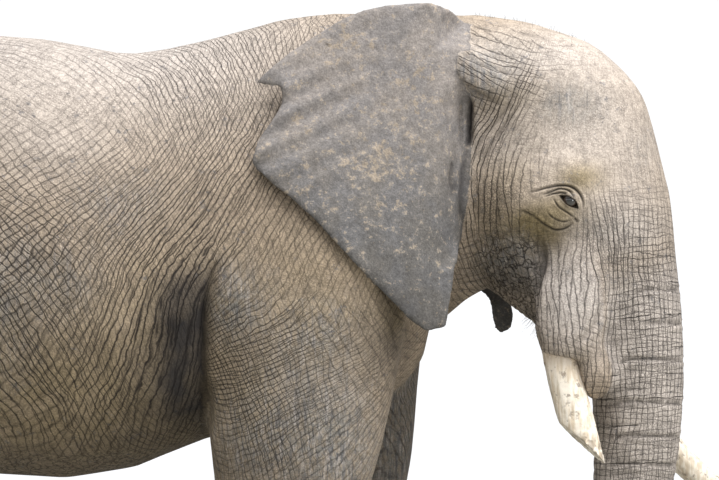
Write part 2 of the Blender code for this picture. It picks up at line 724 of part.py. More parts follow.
def part_body(body):
    """Divides the body by thin cuts. Returns the pieces by name; the barrel is what is left."""
    place = head_place()
    pieces = {}
    for leg_name in STANCE:
        kind, side = leg_name[:4], leg_name.split("_")[1]
        pieces[f"{kind}foot_{side}"] = take(body, f"{kind}foot_{side}", foot_region(leg_name, 0.27))
    for leg_name in STANCE:
        pieces[leg_name] = take(body, leg_name, lambda grow, n=leg_name: arch_region("arch", n, grow))

    def beyond(point, way, moved=None, size=3.0):
        facing = Vector(way).normalized()
        return lambda grow: half_space("cut", Vector(point) - facing * grow, facing, moved, size)

    pieces["tail"] = take(body, "tail", tail_region)
    trunk_path = [(x, 0, height) for x, height, _, _ in TRUNK]
    for name, index in (("trunk_tip", 9), ("trunk_lower", 6)):
        spot, way = along_axis(trunk_path, index, None)
        pieces[name] = take(body, name, beyond(spot, way, place, 0.9))
    pieces["trunk_upper"] = take(body, "trunk_upper", beyond((1.205, 0, 1.61), (0.90, 0, -0.44), place, 0.9))
    pieces["lower_jaw"] = take(body, "lower_jaw", jaw_region)
    pieces["head"] = take(body, "head", beyond((0.60, 0, 2.60), (0.99, 0, 0.14), place))
    pieces["neck"] = take(body, "neck", beyond((0.26, 0, 2.55), (0.95, 0, 0.31)))
    body.name = "barrel"
    pieces["barrel"] = body
    return pieces


# ---------------------------------------------------------------- assembly
def material(name, colour, roughness):
    made = bpy.data.materials.new(name)
    made.use_nodes = True
    surface = made.node_tree.nodes["Principled BSDF"]
    surface.inputs["Base Color"].default_value = (*colour, 1.0)
    surface.inputs["Roughness"].default_value = roughness
    surface.inputs["Metallic"].default_value = 0.0
    made.diffuse_color = (*colour, 1.0)
    return made


def finish(target, surface, smooth_angle=50):
    target.data.materials.clear()
    target.data.materials.append(surface)
    target.vertex_groups.clear()
    target.data.shade_smooth()
    target.data.set_sharp_from_angle(angle=math.radians(smooth_angle))


def build():
    for leftover in list(bpy.data.objects):
        bpy.data.objects.remove(leftover)
    skin = material("skin", SKIN_COLOUR, 0.9)
    ear_skin = material("ear_skin", EAR_COLOUR, 0.85)
    ivory = material("ivory", IVORY_COLOUR, 0.45)
    horn = material("nail_horn", NAIL_COLOUR, 0.6)
    eye_dark = material("eye", EYE_COLOUR, 0.08)
    hair = material("tail_hair", HAIR_COLOUR, 0.6)

    body = thin_out(make_flesh())
    tree = tree_of(body)
    swollen = copy_of(body, "swollen")
    apply_modifier(swollen, "DISPLACE", strength=GAP, mid_level=0.0)

    made = {}
    for name, (side, flare, swing, shift, drop) in EARS.items():
        ear = ear_sheet(name, side, flare, swing, shift, drop, tree)
        boolean(ear, copy_of(swollen, "swollen_cut"), "DIFFERENCE")
        made[name] = (ear, ear_skin)
    brush_rows = smooth_rows(TAIL_BRUSH, 8)
    brush = tube("tail_brush", [tuple(row[:3]) for row in brush_rows],
                 brush_rows[:, 3] * 0.8, brush_rows[:, 3], ring_points=8)  # fmt: skip
    boolean(brush, swollen, "DIFFERENCE")
    made["tail_brush"] = (brush, hair)

    nails = {}
    for leg_name in STANCE:
        kind, side = leg_name[:4], leg_name.split("_")[1]
        for number, (spot, turn) in enumerate(nail_places(leg_name, tree), 1):
            nails[f"nail_{kind}_{side}_{number}"] = (spot, turn, kind, f"{kind}foot_{side}")
    eyes = {f"eye_{word}": eye_centre(side, tree) for word, side in (("right", -1), ("left", 1))}

    pieces = part_body(body)
    for name, piece in pieces.items():
        made[name] = (piece, skin)
    for name, (spot, turn, kind, foot) in nails.items():
        boolean(pieces[foot], nail("pocket", spot, turn, kind, GAP), "DIFFERENCE")
        plate = boolean(nail(name, spot, turn, kind), box("ground", (-4, -2, -1), (4, 2, 0.0)), "DIFFERENCE")
        made[name] = (plate, horn)
    for name, centre in eyes.items():
        socket = ellipsoid("socket", centre, [EYE_RADIUS + GAP] * 3, None, 10, 7)
        boolean(pieces["head"], socket, "DIFFERENCE")
        made[name] = (ellipsoid(name, centre, [EYE_RADIUS] * 3, None, 10, 7), eye_dark)
    for name, rows, side in (("tusk_right", TUSK_RIGHT, -1), ("tusk_left", TUSK_LEFT, 1)):
        for flesh in ("head", "trunk_upper", "lower_jaw"):
            boolean(pieces[flesh], tusk("socket", rows, side, GAP), "DIFFERENCE")
        made[name] = (tusk(name, rows, side), ivory)

    for name, (piece, surface) in made.items():
        piece.name = name
        finish(piece, surface)
    corners = np.concatenate([points_of(piece) for piece, _ in made.values()])
    middle = (corners.min(0) + corners.max(0)) / 2
    for piece, _ in made.values():
        set_points(piece, points_of(piece) - np.array((middle[0], middle[1], 0.0)))


build()
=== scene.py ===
# %% [markdown]
# A grown African savanna elephant, standing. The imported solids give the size, the stance and the main
# forms. This file dresses them: one skin with its folds, lids and wrinkles, wet eyes, ivory, horn nails
# and a little coarse hair, under soft light.

import itertools
import math

import bmesh
import bpy
import numpy as np
from mathutils import Matrix, Vector
from mathutils.bvhtree import BVHTree


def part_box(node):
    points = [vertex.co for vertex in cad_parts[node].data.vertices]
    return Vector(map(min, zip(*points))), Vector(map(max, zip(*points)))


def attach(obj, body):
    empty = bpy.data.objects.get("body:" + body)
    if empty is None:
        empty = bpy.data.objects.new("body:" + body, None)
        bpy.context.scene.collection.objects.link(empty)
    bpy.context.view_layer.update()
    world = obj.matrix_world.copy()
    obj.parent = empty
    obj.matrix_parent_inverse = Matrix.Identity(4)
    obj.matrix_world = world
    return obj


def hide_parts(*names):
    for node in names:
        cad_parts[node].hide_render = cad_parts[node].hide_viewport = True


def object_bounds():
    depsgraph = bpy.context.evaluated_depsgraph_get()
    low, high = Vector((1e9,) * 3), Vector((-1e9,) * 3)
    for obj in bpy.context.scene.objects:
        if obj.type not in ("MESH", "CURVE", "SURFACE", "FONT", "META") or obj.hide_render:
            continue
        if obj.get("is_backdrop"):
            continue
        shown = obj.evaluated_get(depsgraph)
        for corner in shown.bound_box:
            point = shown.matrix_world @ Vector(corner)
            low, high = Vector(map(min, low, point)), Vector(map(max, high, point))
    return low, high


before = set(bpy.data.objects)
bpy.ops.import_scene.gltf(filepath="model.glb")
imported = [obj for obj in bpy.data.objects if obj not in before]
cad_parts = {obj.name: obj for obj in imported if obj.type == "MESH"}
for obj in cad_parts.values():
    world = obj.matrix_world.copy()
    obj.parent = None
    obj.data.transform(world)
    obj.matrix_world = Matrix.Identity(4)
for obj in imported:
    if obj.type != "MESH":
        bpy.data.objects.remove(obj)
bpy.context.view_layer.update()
bpy.ops.object.select_all(action="DESELECT")

# %% [markdown]
# An animal is easier to describe from its own landmarks than from the middle of its footprint. Here x =
# 0 is the right foreleg, y = 0 the spine and z = 0 the ground. The right eye's known place in those
# terms, set against where the frame has it, gives the one shift that carries every position over. The
# head is turned a little to the animal's right, about the neck, so it gets its own level axes too.

# %% Landmarks
EYE_RIGHT = Vector((1.0161, -0.4341, 2.341))
EYE_RADIUS = 0.031
HEAD_PIVOT_X = 0.45
HEAD_TURN = math.radians(-12)

low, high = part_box("eye_right")
ORIGIN = np.array((low + high) / 2 - EYE_RIGHT)
ORIGIN[2] = 0.0
print("landmark origin in the frame", ORIGIN.round(4))


def to_head(points):
    """Body places in the head's own level axes."""
    c, s = math.cos(-HEAD_TURN), math.sin(-HEAD_TURN)
    x = points[:, 0] - HEAD_PIVOT_X
    return np.column_stack(
        (HEAD_PIVOT_X + x * c - points[:, 1] * s, x * s + points[:, 1] * c, points[:, 2])
    )


# %% [markdown]
# The camera stands well back, level with the lower chest, and looks along the animal's flank with a
# long lens, tipped up a little. It is made first so that every later step can be looked at from the
# right place.

# %% Camera
SENSOR_MM = 36.0
LENS_MM = 203.0
FARTHEST_SEEN = 200
CAMERA_AT = np.array((0.257, -15.0, 1.82)) + ORIGIN
CAMERA_TIP = math.radians(91.48)  # a right angle would look level

bpy.ops.object.camera_add(location=tuple(CAMERA_AT), rotation=(CAMERA_TIP, 0, 0))
camera = bpy.context.active_object
camera.name = "camera"
camera.data.sensor_width = SENSOR_MM
camera.data.lens = LENS_MM
camera.data.clip_end = FARTHEST_SEEN
bpy.context.scene.camera = camera
print("camera at", CAMERA_AT.round(3))

# %% [markdown]
# Skin has no seams, but the solids are parted by hair-thin cuts. So copies of the flesh nodes are
# merged, swelled by a millimetre so that they overlap across the cuts, joined, and rebuilt as one
# closed surface by a voxel remesh, as wax is poured round a jointed armature. The eyes and nails go in
# as filler, so that their sockets close; later the lids are opened over the eyes, and new nails are
# swelled to stand out of the skin. The tusks stay out: their sockets stay open for them.

# %% One closed skin
FLESH = [
    "barrel", "neck", "head", "lower_jaw", "trunk_upper", "trunk_lower", "trunk_tip", "tail",
    "ear_left", "ear_right", "foreleg_left", "foreleg_right", "hindleg_left", "hindleg_right",
    "forefoot_left", "forefoot_right", "hindfoot_left", "hindfoot_right",
]  # fmt: skip
NAILS = sorted(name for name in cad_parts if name.startswith("nail_"))
VOXEL = 0.009
WELD = 0.00002  # points nearer than this are one point
BRIDGE = 0.0012  # swell that closes the cuts


def only(*chosen):
    """Selects these objects and nothing else; the first is active."""
    bpy.ops.object.select_all(action="DESELECT")
    for one in chosen:
        one.select_set(True)
    bpy.context.view_layer.objects.active = chosen[0]


def shade_smooth(piece):
    """Shades one piece smoothly."""
    only(piece)
    bpy.ops.object.shade_smooth()


def modify(piece, kind, **settings):
    """Adds a modifier, sets it and applies it."""
    only(piece)
    bpy.ops.object.modifier_add(type=kind)
    modifier = piece.modifiers[-1]
    for key, value in settings.items():
        setattr(modifier, key, value)
    bpy.ops.object.modifier_apply(modifier=modifier.name)


def merged_copy(node, name):
    """A copy of a CAD node with its loose triangles joined up."""
    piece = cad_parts[node].copy()
    piece.data = piece.data.copy()
    piece.parent = None
    piece.matrix_world = Matrix()
    piece.name = name
    bpy.context.scene.collection.objects.link(piece)
    piece.hide_set(False)
    only(piece)
    bpy.ops.object.mode_set(mode="EDIT")
    bpy.ops.mesh.select_all(action="SELECT")
    bpy.ops.mesh.remove_doubles(threshold=WELD)
    bpy.ops.object.mode_set(mode="OBJECT")
    piece.data.materials.clear()
    return piece


def tree_of(piece):
    """A tree that finds the nearest place on a piece."""
    work = bmesh.new()
    work.from_mesh(piece.data)
    tree = BVHTree.FromBMesh(work)
    work.free()
    return tree


parts = [merged_copy(node, f"copy_{node}") for node in FLESH + NAILS + ["eye_left", "eye_right"]]
ear_trees = {node: tree_of(bpy.data.objects[f"copy_{node}"]) for node in ("ear_left", "ear_right")}
for part in parts:
    modify(part, "DISPLACE", strength=BRIDGE, mid_level=0.0)
only(*parts)
bpy.ops.object.join()
skin = bpy.context.active_object
skin.name = "skin"
modify(skin, "REMESH", mode="VOXEL", voxel_size=VOXEL, adaptivity=0.0)
print("skin after the remesh:", len(skin.data.polygons), "faces")

# %% [markdown]
# From here the skin is modelled as a sculptor would, by moving its points. These helpers read and write
# all the points at once, in the landmark axes, and `wander` is a smooth noise that turns over at a
# stated size in metres.

# %% Sculpting helpers


def points_of(piece):
    """All of a piece's points, in the landmark axes."""
    flat = np.empty(len(piece.data.vertices) * 3)
    piece.data.vertices.foreach_get("co", flat)
    return flat.reshape(-1, 3) - ORIGIN


def set_points(piece, points):
    """Moves all of a piece's points to new places."""
    piece.data.vertices.foreach_set("co", (points + ORIGIN).ravel())
    piece.data.update()


def normals_of(piece):
    """Which way the surface faces at each point."""
    flat = np.empty(len(piece.data.vertices) * 3, np.float32)
    piece.data.vertex_normals.foreach_get("vector", flat)
    return flat.reshape(-1, 3).astype(float)


def wander(points, size, seed=0):
    """Smooth noise from -1 to 1 that turns over about every `size` metres."""
    place = points / size + np.array((17.3, 5.1, 9.7)) * (seed + 1)
    cell = np.floor(place).astype(np.int64)
    share = place - cell
    share = share * share * (3 - 2 * share)
    total = np.zeros(len(points))
    for corner in itertools.product((0, 1), repeat=3):
        near = cell + np.array(corner)
        mix = near[:, 0] * 73856093 ^ near[:, 1] * 19349663 ^ near[:, 2] * 83492791 ^ (seed * 977)
        mix = (mix ^ (mix >> 13)) * 1274126177
        value = ((mix >> 9) & 0xFFFF) / 32767.5 - 1
        weight = np.ones(len(points))
        for axis in range(3):
            weight *= share[:, axis] if corner[axis] else 1 - share[:, axis]
        total += weight * value
    return total


def fade(value, start, end):
    """0 at start, 1 at end, with soft shoulders."""
    share = np.clip((value - start) / (end - start), 0, 1)
    return share * share * (3 - 2 * share)


def creased(run, spacing, width, seed=0, unevenness=0.3):
    """1 in each crease and 0 between them: creases come about every `spacing` along `run`, unevenly."""
    row = run / spacing
    base = np.floor(row)
    nearest = np.full(len(run), 9.0)
    for step in (-1, 0, 1):
        home = base + step
        mix = (home.astype(np.int64) * 374761393 + seed * 668265263) & 0x7FFFFFFF
        jitter = (((mix ^ (mix >> 13)) * 1274126177) >> 7 & 0x3FF) / 511.5 - 1
        nearest = np.minimum(nearest, np.abs(row - home - 0.5 - jitter * unevenness))
    return np.exp(-((nearest * spacing / width) ** 2))


# %% [markdown]
# The remesh leaves stair steps and shows the flat faces of the solids. A smoothing pass melts both. The
# thin ears would shrink under it, so they get a lighter pass and are then treated as what they are,
# sheets: the height of each ear over its own plane is blurred on a grid, and the ear's points follow
# the blurred height.

# %% Smoothing
EAR_TOUCH = 0.007  # a point this near to the ear's own solid is ear
EAR_SEARCH = 0.03
EAR_REAR, EAR_FRONTMOST, EAR_LOWEST = -0.3, 1.0, 1.8
BODY_ROUNDS, ALL_ROUNDS = 34, 3
GIVEN_BACK = 0.0015  # swell that makes up for what smoothing takes
GROUP_LEVELS = 20


def ear_share(points, nodes=("ear_left", "ear_right")):
    """1 on the ears and 0 elsewhere, read from how near each point is to the ears' solids."""
    share = np.zeros(len(points))
    between = (points[:, 0] > EAR_REAR) & (points[:, 0] < EAR_FRONTMOST)
    for node in nodes:
        tree = ear_trees[node]
        for index in np.flatnonzero(between & (points[:, 2] > EAR_LOWEST)):
            away = tree.find_nearest(Vector(points[index] + ORIGIN), EAR_SEARCH)[3]
            if away is not None:
                share[index] = max(share[index], float(np.clip(1.6 - away / EAR_TOUCH, 0, 1)))
    return share


def shares_of(piece, name):
    """Reads a vertex group back as one share for each point."""
    index = piece.vertex_groups[name].index
    shares = np.zeros(len(piece.data.vertices))
    for place, vertex in enumerate(piece.data.vertices):
        for held in vertex.groups:
            if held.group == index:
                shares[place] = held.weight
    return shares


def group(piece, name, weights):
    """Stores a share for each point as a vertex group."""
    made = piece.vertex_groups.new(name=name)
    levels = np.round(weights * GROUP_LEVELS).astype(int)
    for level in range(1, GROUP_LEVELS + 1):
        chosen = np.flatnonzero(levels == level)
        if len(chosen):
            made.add(chosen.tolist(), level / GROUP_LEVELS, "REPLACE")


ear_part = ear_share(points_of(skin))
group(skin, "body", 1 - ear_part)
group(skin, "ear", ear_part)
modify(skin, "SMOOTH", factor=0.5, iterations=BODY_ROUNDS, vertex_group="body")
modify(skin, "SMOOTH", factor=0.5, iterations=ALL_ROUNDS)
modify(skin, "DISPLACE", strength=GIVEN_BACK, mid_level=0.0, vertex_group="body")
print("ear points:", int(ear_part.sum()))

# %% [markdown]
# Each ear is a broad sheet that hangs from one edge. Its mean plane comes from its own points, and a
# grid over that plane holds the sheet's middle height. Blurring the grid rounds the facets off, soft
# folds that fan from the notch are added, and the sheet is thinned towards its free rim, as a real ear
# is.

# %% Ears as soft sheets
EAR_CELL = 0.015
EAR_CALM = 0.055  # reach of the blur
EAR_FOLD_SPACING = 0.092
EAR_FOLD_HEIGHT = 0.010
EAR_FOLD_REACH = (0.34, 0.24)  # along the folds and across them
EAR_FAN_AT, EAR_FAN_LEAN = (-0.08, 2.60), (0.90, 0.43)  # x and height of the fan's middle, and its way
EAR_PAD = 40  # empty cells round the grid
LEFT_EAR_ROOT = (0.74, 0.42)
RIM_THICKNESS = 0.45  # share of the thickness left at the free rim


def blurred(grid, cells):
    """A soft blur of a grid, by a bell curve some cells wide."""
    reach = np.arange(-int(3 * cells), int(3 * cells) + 1)
    bell = np.exp(-0.5 * (reach / cells) ** 2)
    bell /= bell.sum()
    for axis in (0, 1):
        grid = np.apply_along_axis(lambda row: np.convolve(row, bell, mode="same"), axis, grid)
    return grid


def evened(height, full, cells):
    """The same blur over the filled cells only."""
    return blurred(height * full, cells) / np.maximum(blurred(full, cells), 1e-6)


def sampled(grid, i, j):
    """Reads a grid between its cells."""
    i0 = np.clip(np.floor(i).astype(int), 0, grid.shape[0] - 2)
    j0 = np.clip(np.floor(j).astype(int), 0, grid.shape[1] - 2)
    u, v = np.clip(i - i0, 0, 1), np.clip(j - j0, 0, 1)
    near = grid[i0, j0] * (1 - u) * (1 - v) + grid[i0 + 1, j0] * u * (1 - v)
    return near + grid[i0, j0 + 1] * (1 - u) * v + grid[i0 + 1, j0 + 1] * u * v


def calm_ear(points, node):
    """Returns the points with one ear made a soft, thin-rimmed sheet."""
    share = ear_share(points, (node,))
    chosen = np.flatnonzero(share > 0.02)
    own = points[chosen]
    middle = own[share[chosen] > 0.9].mean(0)
    spread = own[share[chosen] > 0.9] - middle
    axes = np.linalg.svd(spread[::7], full_matrices=False)[2]
    if axes[2][1] * (1 if node == "ear_left" else -1) < 0:
        axes[2] *= -1
    flat = (own - middle) @ axes.T
    i = (flat[:, 0] - flat[:, 0].min()) / EAR_CELL + EAR_PAD
    j = (flat[:, 1] - flat[:, 1].min()) / EAR_CELL + EAR_PAD
    shape = (int(i.max()) + EAR_PAD + 2, int(j.max()) + EAR_PAD + 2)
    count, height = np.zeros(shape), np.zeros(shape)
    cell = (np.round(i).astype(int), np.round(j).astype(int))
    np.add.at(count, cell, share[chosen])
    np.add.at(height, cell, share[chosen] * flat[:, 2])
    full = (count > 0).astype(float)
    mean = height / np.maximum(count, 1e-6)
    mid_now = sampled(evened(mean, full, 1.2), i, j)
    mid_new = sampled(evened(mean, full, EAR_CALM / EAR_CELL), i, j)
    thin = RIM_THICKNESS + (1 - RIM_THICKNESS) * fade(sampled(blurred(full, 1.6), i, j), 0.5, 0.98)
    if node == "ear_right":
        root = fade(to_head(own)[:, 0], 0.62, 0.50)
        back, up = own[:, 0] - EAR_FAN_AT[0], own[:, 2] - EAR_FAN_AT[1]
        run = EAR_FAN_LEAN[0] * back + EAR_FAN_LEAN[1] * up
        across = -EAR_FAN_LEAN[1] * back + EAR_FAN_LEAN[0] * up
    else:
        root = fade(np.linalg.norm(own[:, :2] - np.array(LEFT_EAR_ROOT), axis=1), 0.10, 0.26)
        run, across = -flat[:, 0], flat[:, 1]
    lobe = fade(own[:, 2], 2.25, 2.10)
    hold = np.maximum(root, lobe) * share[chosen]
    new_height = mid_new + (flat[:, 2] - mid_now) * thin
    across = across + 0.02 * wander(own, 0.30, 3)
    strength = np.exp(-((run / EAR_FOLD_REACH[0]) ** 2)) * np.exp(-((across / EAR_FOLD_REACH[1]) ** 2))
    folds = EAR_FOLD_HEIGHT * np.sin(across * 2 * math.pi / EAR_FOLD_SPACING) * strength
    folds += 0.005 * wander(own, 0.16, 5) + 0.0022 * wander(own, 0.06, 6)
    flat[:, 2] += (new_height - flat[:, 2] + folds) * hold
    points = points.copy()
    points[chosen] = flat @ axes + middle
    return points


shape = points_of(skin)
for node in ("ear_right", "ear_left"):
    shape = calm_ear(shape, node)
set_points(skin, shape)

# %% [markdown]
# The remesh has the same grain everywhere. Faces are wanted where the eye looks, on the head, trunk and
# ears, and few on the flanks. A collapse decimation does that: each point's share says how gladly its
# edges are given up.

# %% Faces where they are needed
SKIN_TRIANGLES = 166000
# how gladly each part gives up its edges
GIVE = {"flank": 0.9999, "head": 0.9990, "trunk": 0.9995, "elbow": 0.9991, "ear": 0.9994, "eye": 0.9975}
ELBOW_AT, ELBOW_REACH = (-0.30, 1.80), (0.15, 0.42)  # x and height
ELBOW_INNER = 0.38  # distance from the mid plane
EYE_REACH = 0.13


def trunk_line(count=70):
    """The trunk's line, in the head's axes: places along it, with x, height, half depth and half width."""
    rows = np.array((
        (1.135, 2.40, 0.240, 0.250), (1.185, 2.17, 0.240, 0.240), (1.235, 1.98, 0.216, 0.220),
        (1.272, 1.83, 0.188, 0.202), (1.292, 1.66, 0.168, 0.184), (1.290, 1.50, 0.158, 0.171),
        (1.274, 1.32, 0.146, 0.159), (1.252, 1.05, 0.131, 0.142), (1.242, 0.80, 0.116, 0.126),
        (1.256, 0.58, 0.103, 0.111), (1.296, 0.42, 0.092, 0.098), (1.366, 0.315, 0.082, 0.088),
        (1.461, 0.270, 0.073, 0.080), (1.551, 0.280, 0.066, 0.074),
    ))  # fmt: skip
    at = np.concatenate([[0], np.cumsum(np.linalg.norm(np.diff(rows[:, :2], axis=0), axis=1))])
    wanted = np.linspace(0, at[-1], count)
    return wanted, np.column_stack([np.interp(wanted, at, rows[:, column]) for column in range(4)])


def along_trunk(head_points):
    """For points in the head's axes: way down the trunk, distance from its line in radii, and angle."""
    at, rows = trunk_line()
    x, height = head_points[:, 0], head_points[:, 2]
    near = np.flatnonzero((x > 0.95) & (height < 2.6) & (height > 0.1))
    run, ratio, turn = np.zeros(len(x)), np.full(len(x), 9.0), np.zeros(len(x))
    own = head_points[near]
    away = (own[:, None, 0] - rows[None, :, 0]) ** 2 + (own[:, None, 2] - rows[None, :, 1]) ** 2
    best = away.argmin(1)
    step = np.clip(best, 1, len(rows) - 2)
    way = rows[step + 1, :2] - rows[step - 1, :2]
    way /= np.linalg.norm(way, axis=1)[:, None]
    off_x, off_z = own[:, 0] - rows[best, 0], own[:, 2] - rows[best, 1]
    run[near] = at[best] + off_x * way[:, 0] + off_z * way[:, 1]
    front = off_x * -way[:, 1] + off_z * way[:, 0]
    deep, wide = rows[best, 2], rows[best, 3]
    ratio[near] = np.sqrt((front / deep) ** 2 + (own[:, 1] / wide) ** 2)
    turn[near] = np.arctan2(own[:, 1] / wide, front / deep)
    return run, ratio, turn


shape = points_of(skin)
level = to_head(shape)
trunk_run, trunk_ratio, trunk_turn = along_trunk(level)
on_trunk = fade(trunk_ratio, 1.5, 1.25) * fade(trunk_run, 0.10, 0.42)
on_head = np.maximum(fade(level[:, 0], 0.50, 0.66) * fade(level[:, 2], 1.2, 1.5), on_trunk)
eye_away = np.full(len(shape), 9.0)
for side in (-1, 1):
    spot = to_head(np.array([EYE_RIGHT]))[0] * np.array((1, -side, 1))
    eye_away = np.minimum(eye_away, np.linalg.norm(level - spot, axis=1))
elbow = (np.abs(shape[:, (0, 2)] - ELBOW_AT) < ELBOW_REACH).all(1) & (np.abs(shape[:, 1]) > ELBOW_INNER)
give = np.full(len(shape), GIVE["flank"])
for name, chosen in (
    ("head", on_head > 0.5), ("trunk", (on_trunk > 0.5) & (trunk_run > 1.1)), ("elbow", elbow),
    ("ear", shares_of(skin, "ear") > 0.5), ("eye", eye_away < EYE_REACH),
):  # fmt: skip
    give[chosen] = GIVE[name]
made = skin.vertex_groups.new(name="give")
for value in np.unique(give):
    made.add(np.flatnonzero(give == value).tolist(), float(value), "REPLACE")
triangles = 2 * len(skin.data.polygons)
modify(
    skin, "DECIMATE", ratio=SKIN_TRIANGLES / triangles, use_collapse_triangulate=True, vertex_group="give"
)
print("skin after thinning:", len(skin.data.polygons), "faces")

# %% [markdown]
# The eye sits in a pit under two thick lids with fine folds all round. Those need finer faces than the
# rest, so the faces near each eye are picked out by their distance from it and subdivided in edit mode,
# twice close by.

# %% Finer faces round the eyes
FINE_REACHES = (0.140, 0.075)
EYES = ((-1, "eye_right"), (1, "eye_left"))  # side of the mid plane, node
eyes_at = {}
for side, name in EYES:
    low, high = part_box(name)
    eyes_at[side] = np.array((low + high) / 2) - ORIGIN

for reach in FINE_REACHES:
    only(skin)
    bpy.ops.object.mode_set(mode="EDIT")
    bpy.ops.mesh.select_mode(type="FACE")
    bpy.ops.mesh.select_all(action="DESELECT")
    bpy.ops.object.mode_set(mode="OBJECT")
    centres = np.empty(len(skin.data.polygons) * 3)
    skin.data.polygons.foreach_get("center", centres)
    centres = centres.reshape(-1, 3) - ORIGIN
    near = np.zeros(len(centres), bool)
    for spot in eyes_at.values():
        near |= np.linalg.norm(centres - spot, axis=1) < reach
    skin.data.polygons.foreach_set("select", near)
    bpy.ops.object.mode_set(mode="EDIT")
    bpy.ops.mesh.subdivide(number_cuts=1, smoothness=0)
    bpy.ops.mesh.select_all(action="SELECT")
    bpy.ops.mesh.quads_convert_to_tris()
    bpy.ops.object.mode_set(mode="OBJECT")
print("skin with fine eyes:", len(skin.data.polygons), "faces")

# %% [markdown]
# Where each part begins is needed again and again, so it is worked out once: how much of each point
# belongs to the head, the trunk, the ears and the legs. A point of the trunk or a leg also knows how
# far round and how far down it lies, because rings and long creases follow those. Round is counted from
# the front, alike both ways.

# %% Parts of the skin
LEGS = {  # centre x at the ground and at 1.3 m, centre y
    "foreleg_right": (0.020, 0.015, -0.368),
    "foreleg_left": (0.270, 0.150, 0.368),
    "hindleg_right": (-2.000, -1.885, -0.352),
    "hindleg_left": (-1.790, -1.800, 0.352),
}
LEG_RADIUS, TRUNK_RADIUS = 0.21, 0.15
TRUNK_LAYER = 7  # keeps the trunk's pattern clear of the legs'


def head_facing(facing):
    """Which way the surface faces, in the head's own level axes."""
    return to_head(facing + (HEAD_PIVOT_X, 0, 0)) - (HEAD_PIVOT_X, 0, 0)


shape = points_of(skin)
facing = normals_of(skin)
level = to_head(shape)
facing_head = head_facing(facing)
trunk_run, trunk_ratio, trunk_turn = along_trunk(level)
ear = shares_of(skin, "ear")
trunk = fade(trunk_ratio, 1.40, 1.18) * fade(trunk_run, 0.16, 0.46)
head = fade(level[:, 0], 0.52, 0.70) * fade(level[:, 2], 1.35, 1.55) * (1 - ear)
leg = np.zeros(len(shape))
limb = np.zeros((len(shape), 3))
for name, (x_low, x_high, y) in LEGS.items():
    x = x_low + (x_high - x_low) * np.clip(shape[:, 2] / 1.3, 0, 1.4)
    forward, outward = shape[:, 0] - x, (shape[:, 1] - y) * np.sign(y)
    top = 2.05 if name.startswith("fore") else 1.75
    mine = fade(np.hypot(forward, outward), 0.50, 0.36) * fade(shape[:, 2], top, top - 0.55)
    mine *= (shape[:, 1] * y > 0) * (1 - head) * (1 - ear)
    closest = mine > leg
    leg = np.maximum(leg, mine)
    round_leg = np.abs(np.arctan2(outward, forward)) * LEG_RADIUS
    limb[closest] = np.column_stack((round_leg, shape[:, 2], 0 * round_leg + x_low))[closest]
down = trunk > 0.001
round_trunk = np.abs(trunk_turn) * TRUNK_RADIUS
limb[down] = np.column_stack((round_trunk, trunk_run, 0 * trunk_run + TRUNK_LAYER))[down]
head = head * (1 - trunk)
body = (1 - head) * (1 - trunk) * (1 - ear)
for name, share in (("head", head), ("trunk", trunk), ("ears", ear), ("legs", leg)):
    print(name, "points:", int(share.sum()))

# %% [markdown]
# Big soft unevenness comes first: muscle and slack skin make slow swells that a lofted form lacks. Then
# the folds that anyone would know the animal by. The trunk is ringed, lightly near its root and closely
# towards the tip. Slack skin hangs in a coarse net under the jaw and in rings at the ankles. `push`
# gathers how far each point moves along its normal, and `fold` how deep in a crease it lies, which the
# material darkens later, because creases hold damp soil and shade.

# %% Swells, rings and slack folds
RING_SPACING = ((0.0, 0.7, 1.6, 2.6), (0.062, 0.056, 0.045, 0.030))  # way down the trunk, spacing
push = np.zeros(len(shape))
fold = np.zeros(len(shape))


def press(strength, depth, dark=1.0):
    """Sinks the skin by depth where strength is 1, and notes the crease, painted dark for soil and shade."""
    global push, fold
    push = push - depth * strength
    fold = np.maximum(fold, strength * dark)


push += body * (0.006 * wander(shape, 0.34, 1) + 0.0035 * wander(shape, 0.15, 2))
push += head * (0.003 * wander(shape, 0.16, 3) + 0.0015 * wander(shape, 0.06, 4))

marks = np.arange(400) * 0.0075
run_at = np.concatenate([[0.0], np.cumsum(np.interp(marks[1:], *RING_SPACING))])
ring_count = np.interp(trunk_run, run_at, np.arange(len(run_at)))
wobble = 0.22 * wander(shape, 0.11, 7) + 0.10 * wander(shape, 0.045, 8)
rings = creased(ring_count + wobble, 1.0, 0.17, seed=3)
keep = np.clip(0.60 + 0.8 * wander(shape * (1, 1, 0.5), 0.12, 9), 0.05, 1)
ring_depth = np.interp(trunk_run, (0.2, 0.8, 1.3, 1.8, 2.6), (0.0012, 0.0028, 0.0050, 0.0060, 0.0045))
push -= rings * keep * trunk * ring_depth
fold = np.maximum(fold, rings * keep * trunk * np.interp(trunk_run, (0.2, 0.8, 1.6), (0.25, 0.55, 0.9)))

jaw = fade(level[:, 0], 0.70, 0.79) * fade(level[:, 0], 1.00, 0.94) * fade(level[:, 2], 2.27, 2.15) * head
net_a = creased(level[:, 0] + 0.5 * level[:, 2] + 0.02 * wander(level, 0.08, 17), 0.034, 0.008, seed=11)
net_b = creased(level[:, 2] - 0.35 * level[:, 0] + 0.02 * wander(level, 0.08, 18), 0.030, 0.008, seed=12)
press(np.maximum(net_a, net_b * 0.9) * jaw * np.clip(0.9 + wander(level, 0.07, 19), 0, 1), 0.005, 0.7)

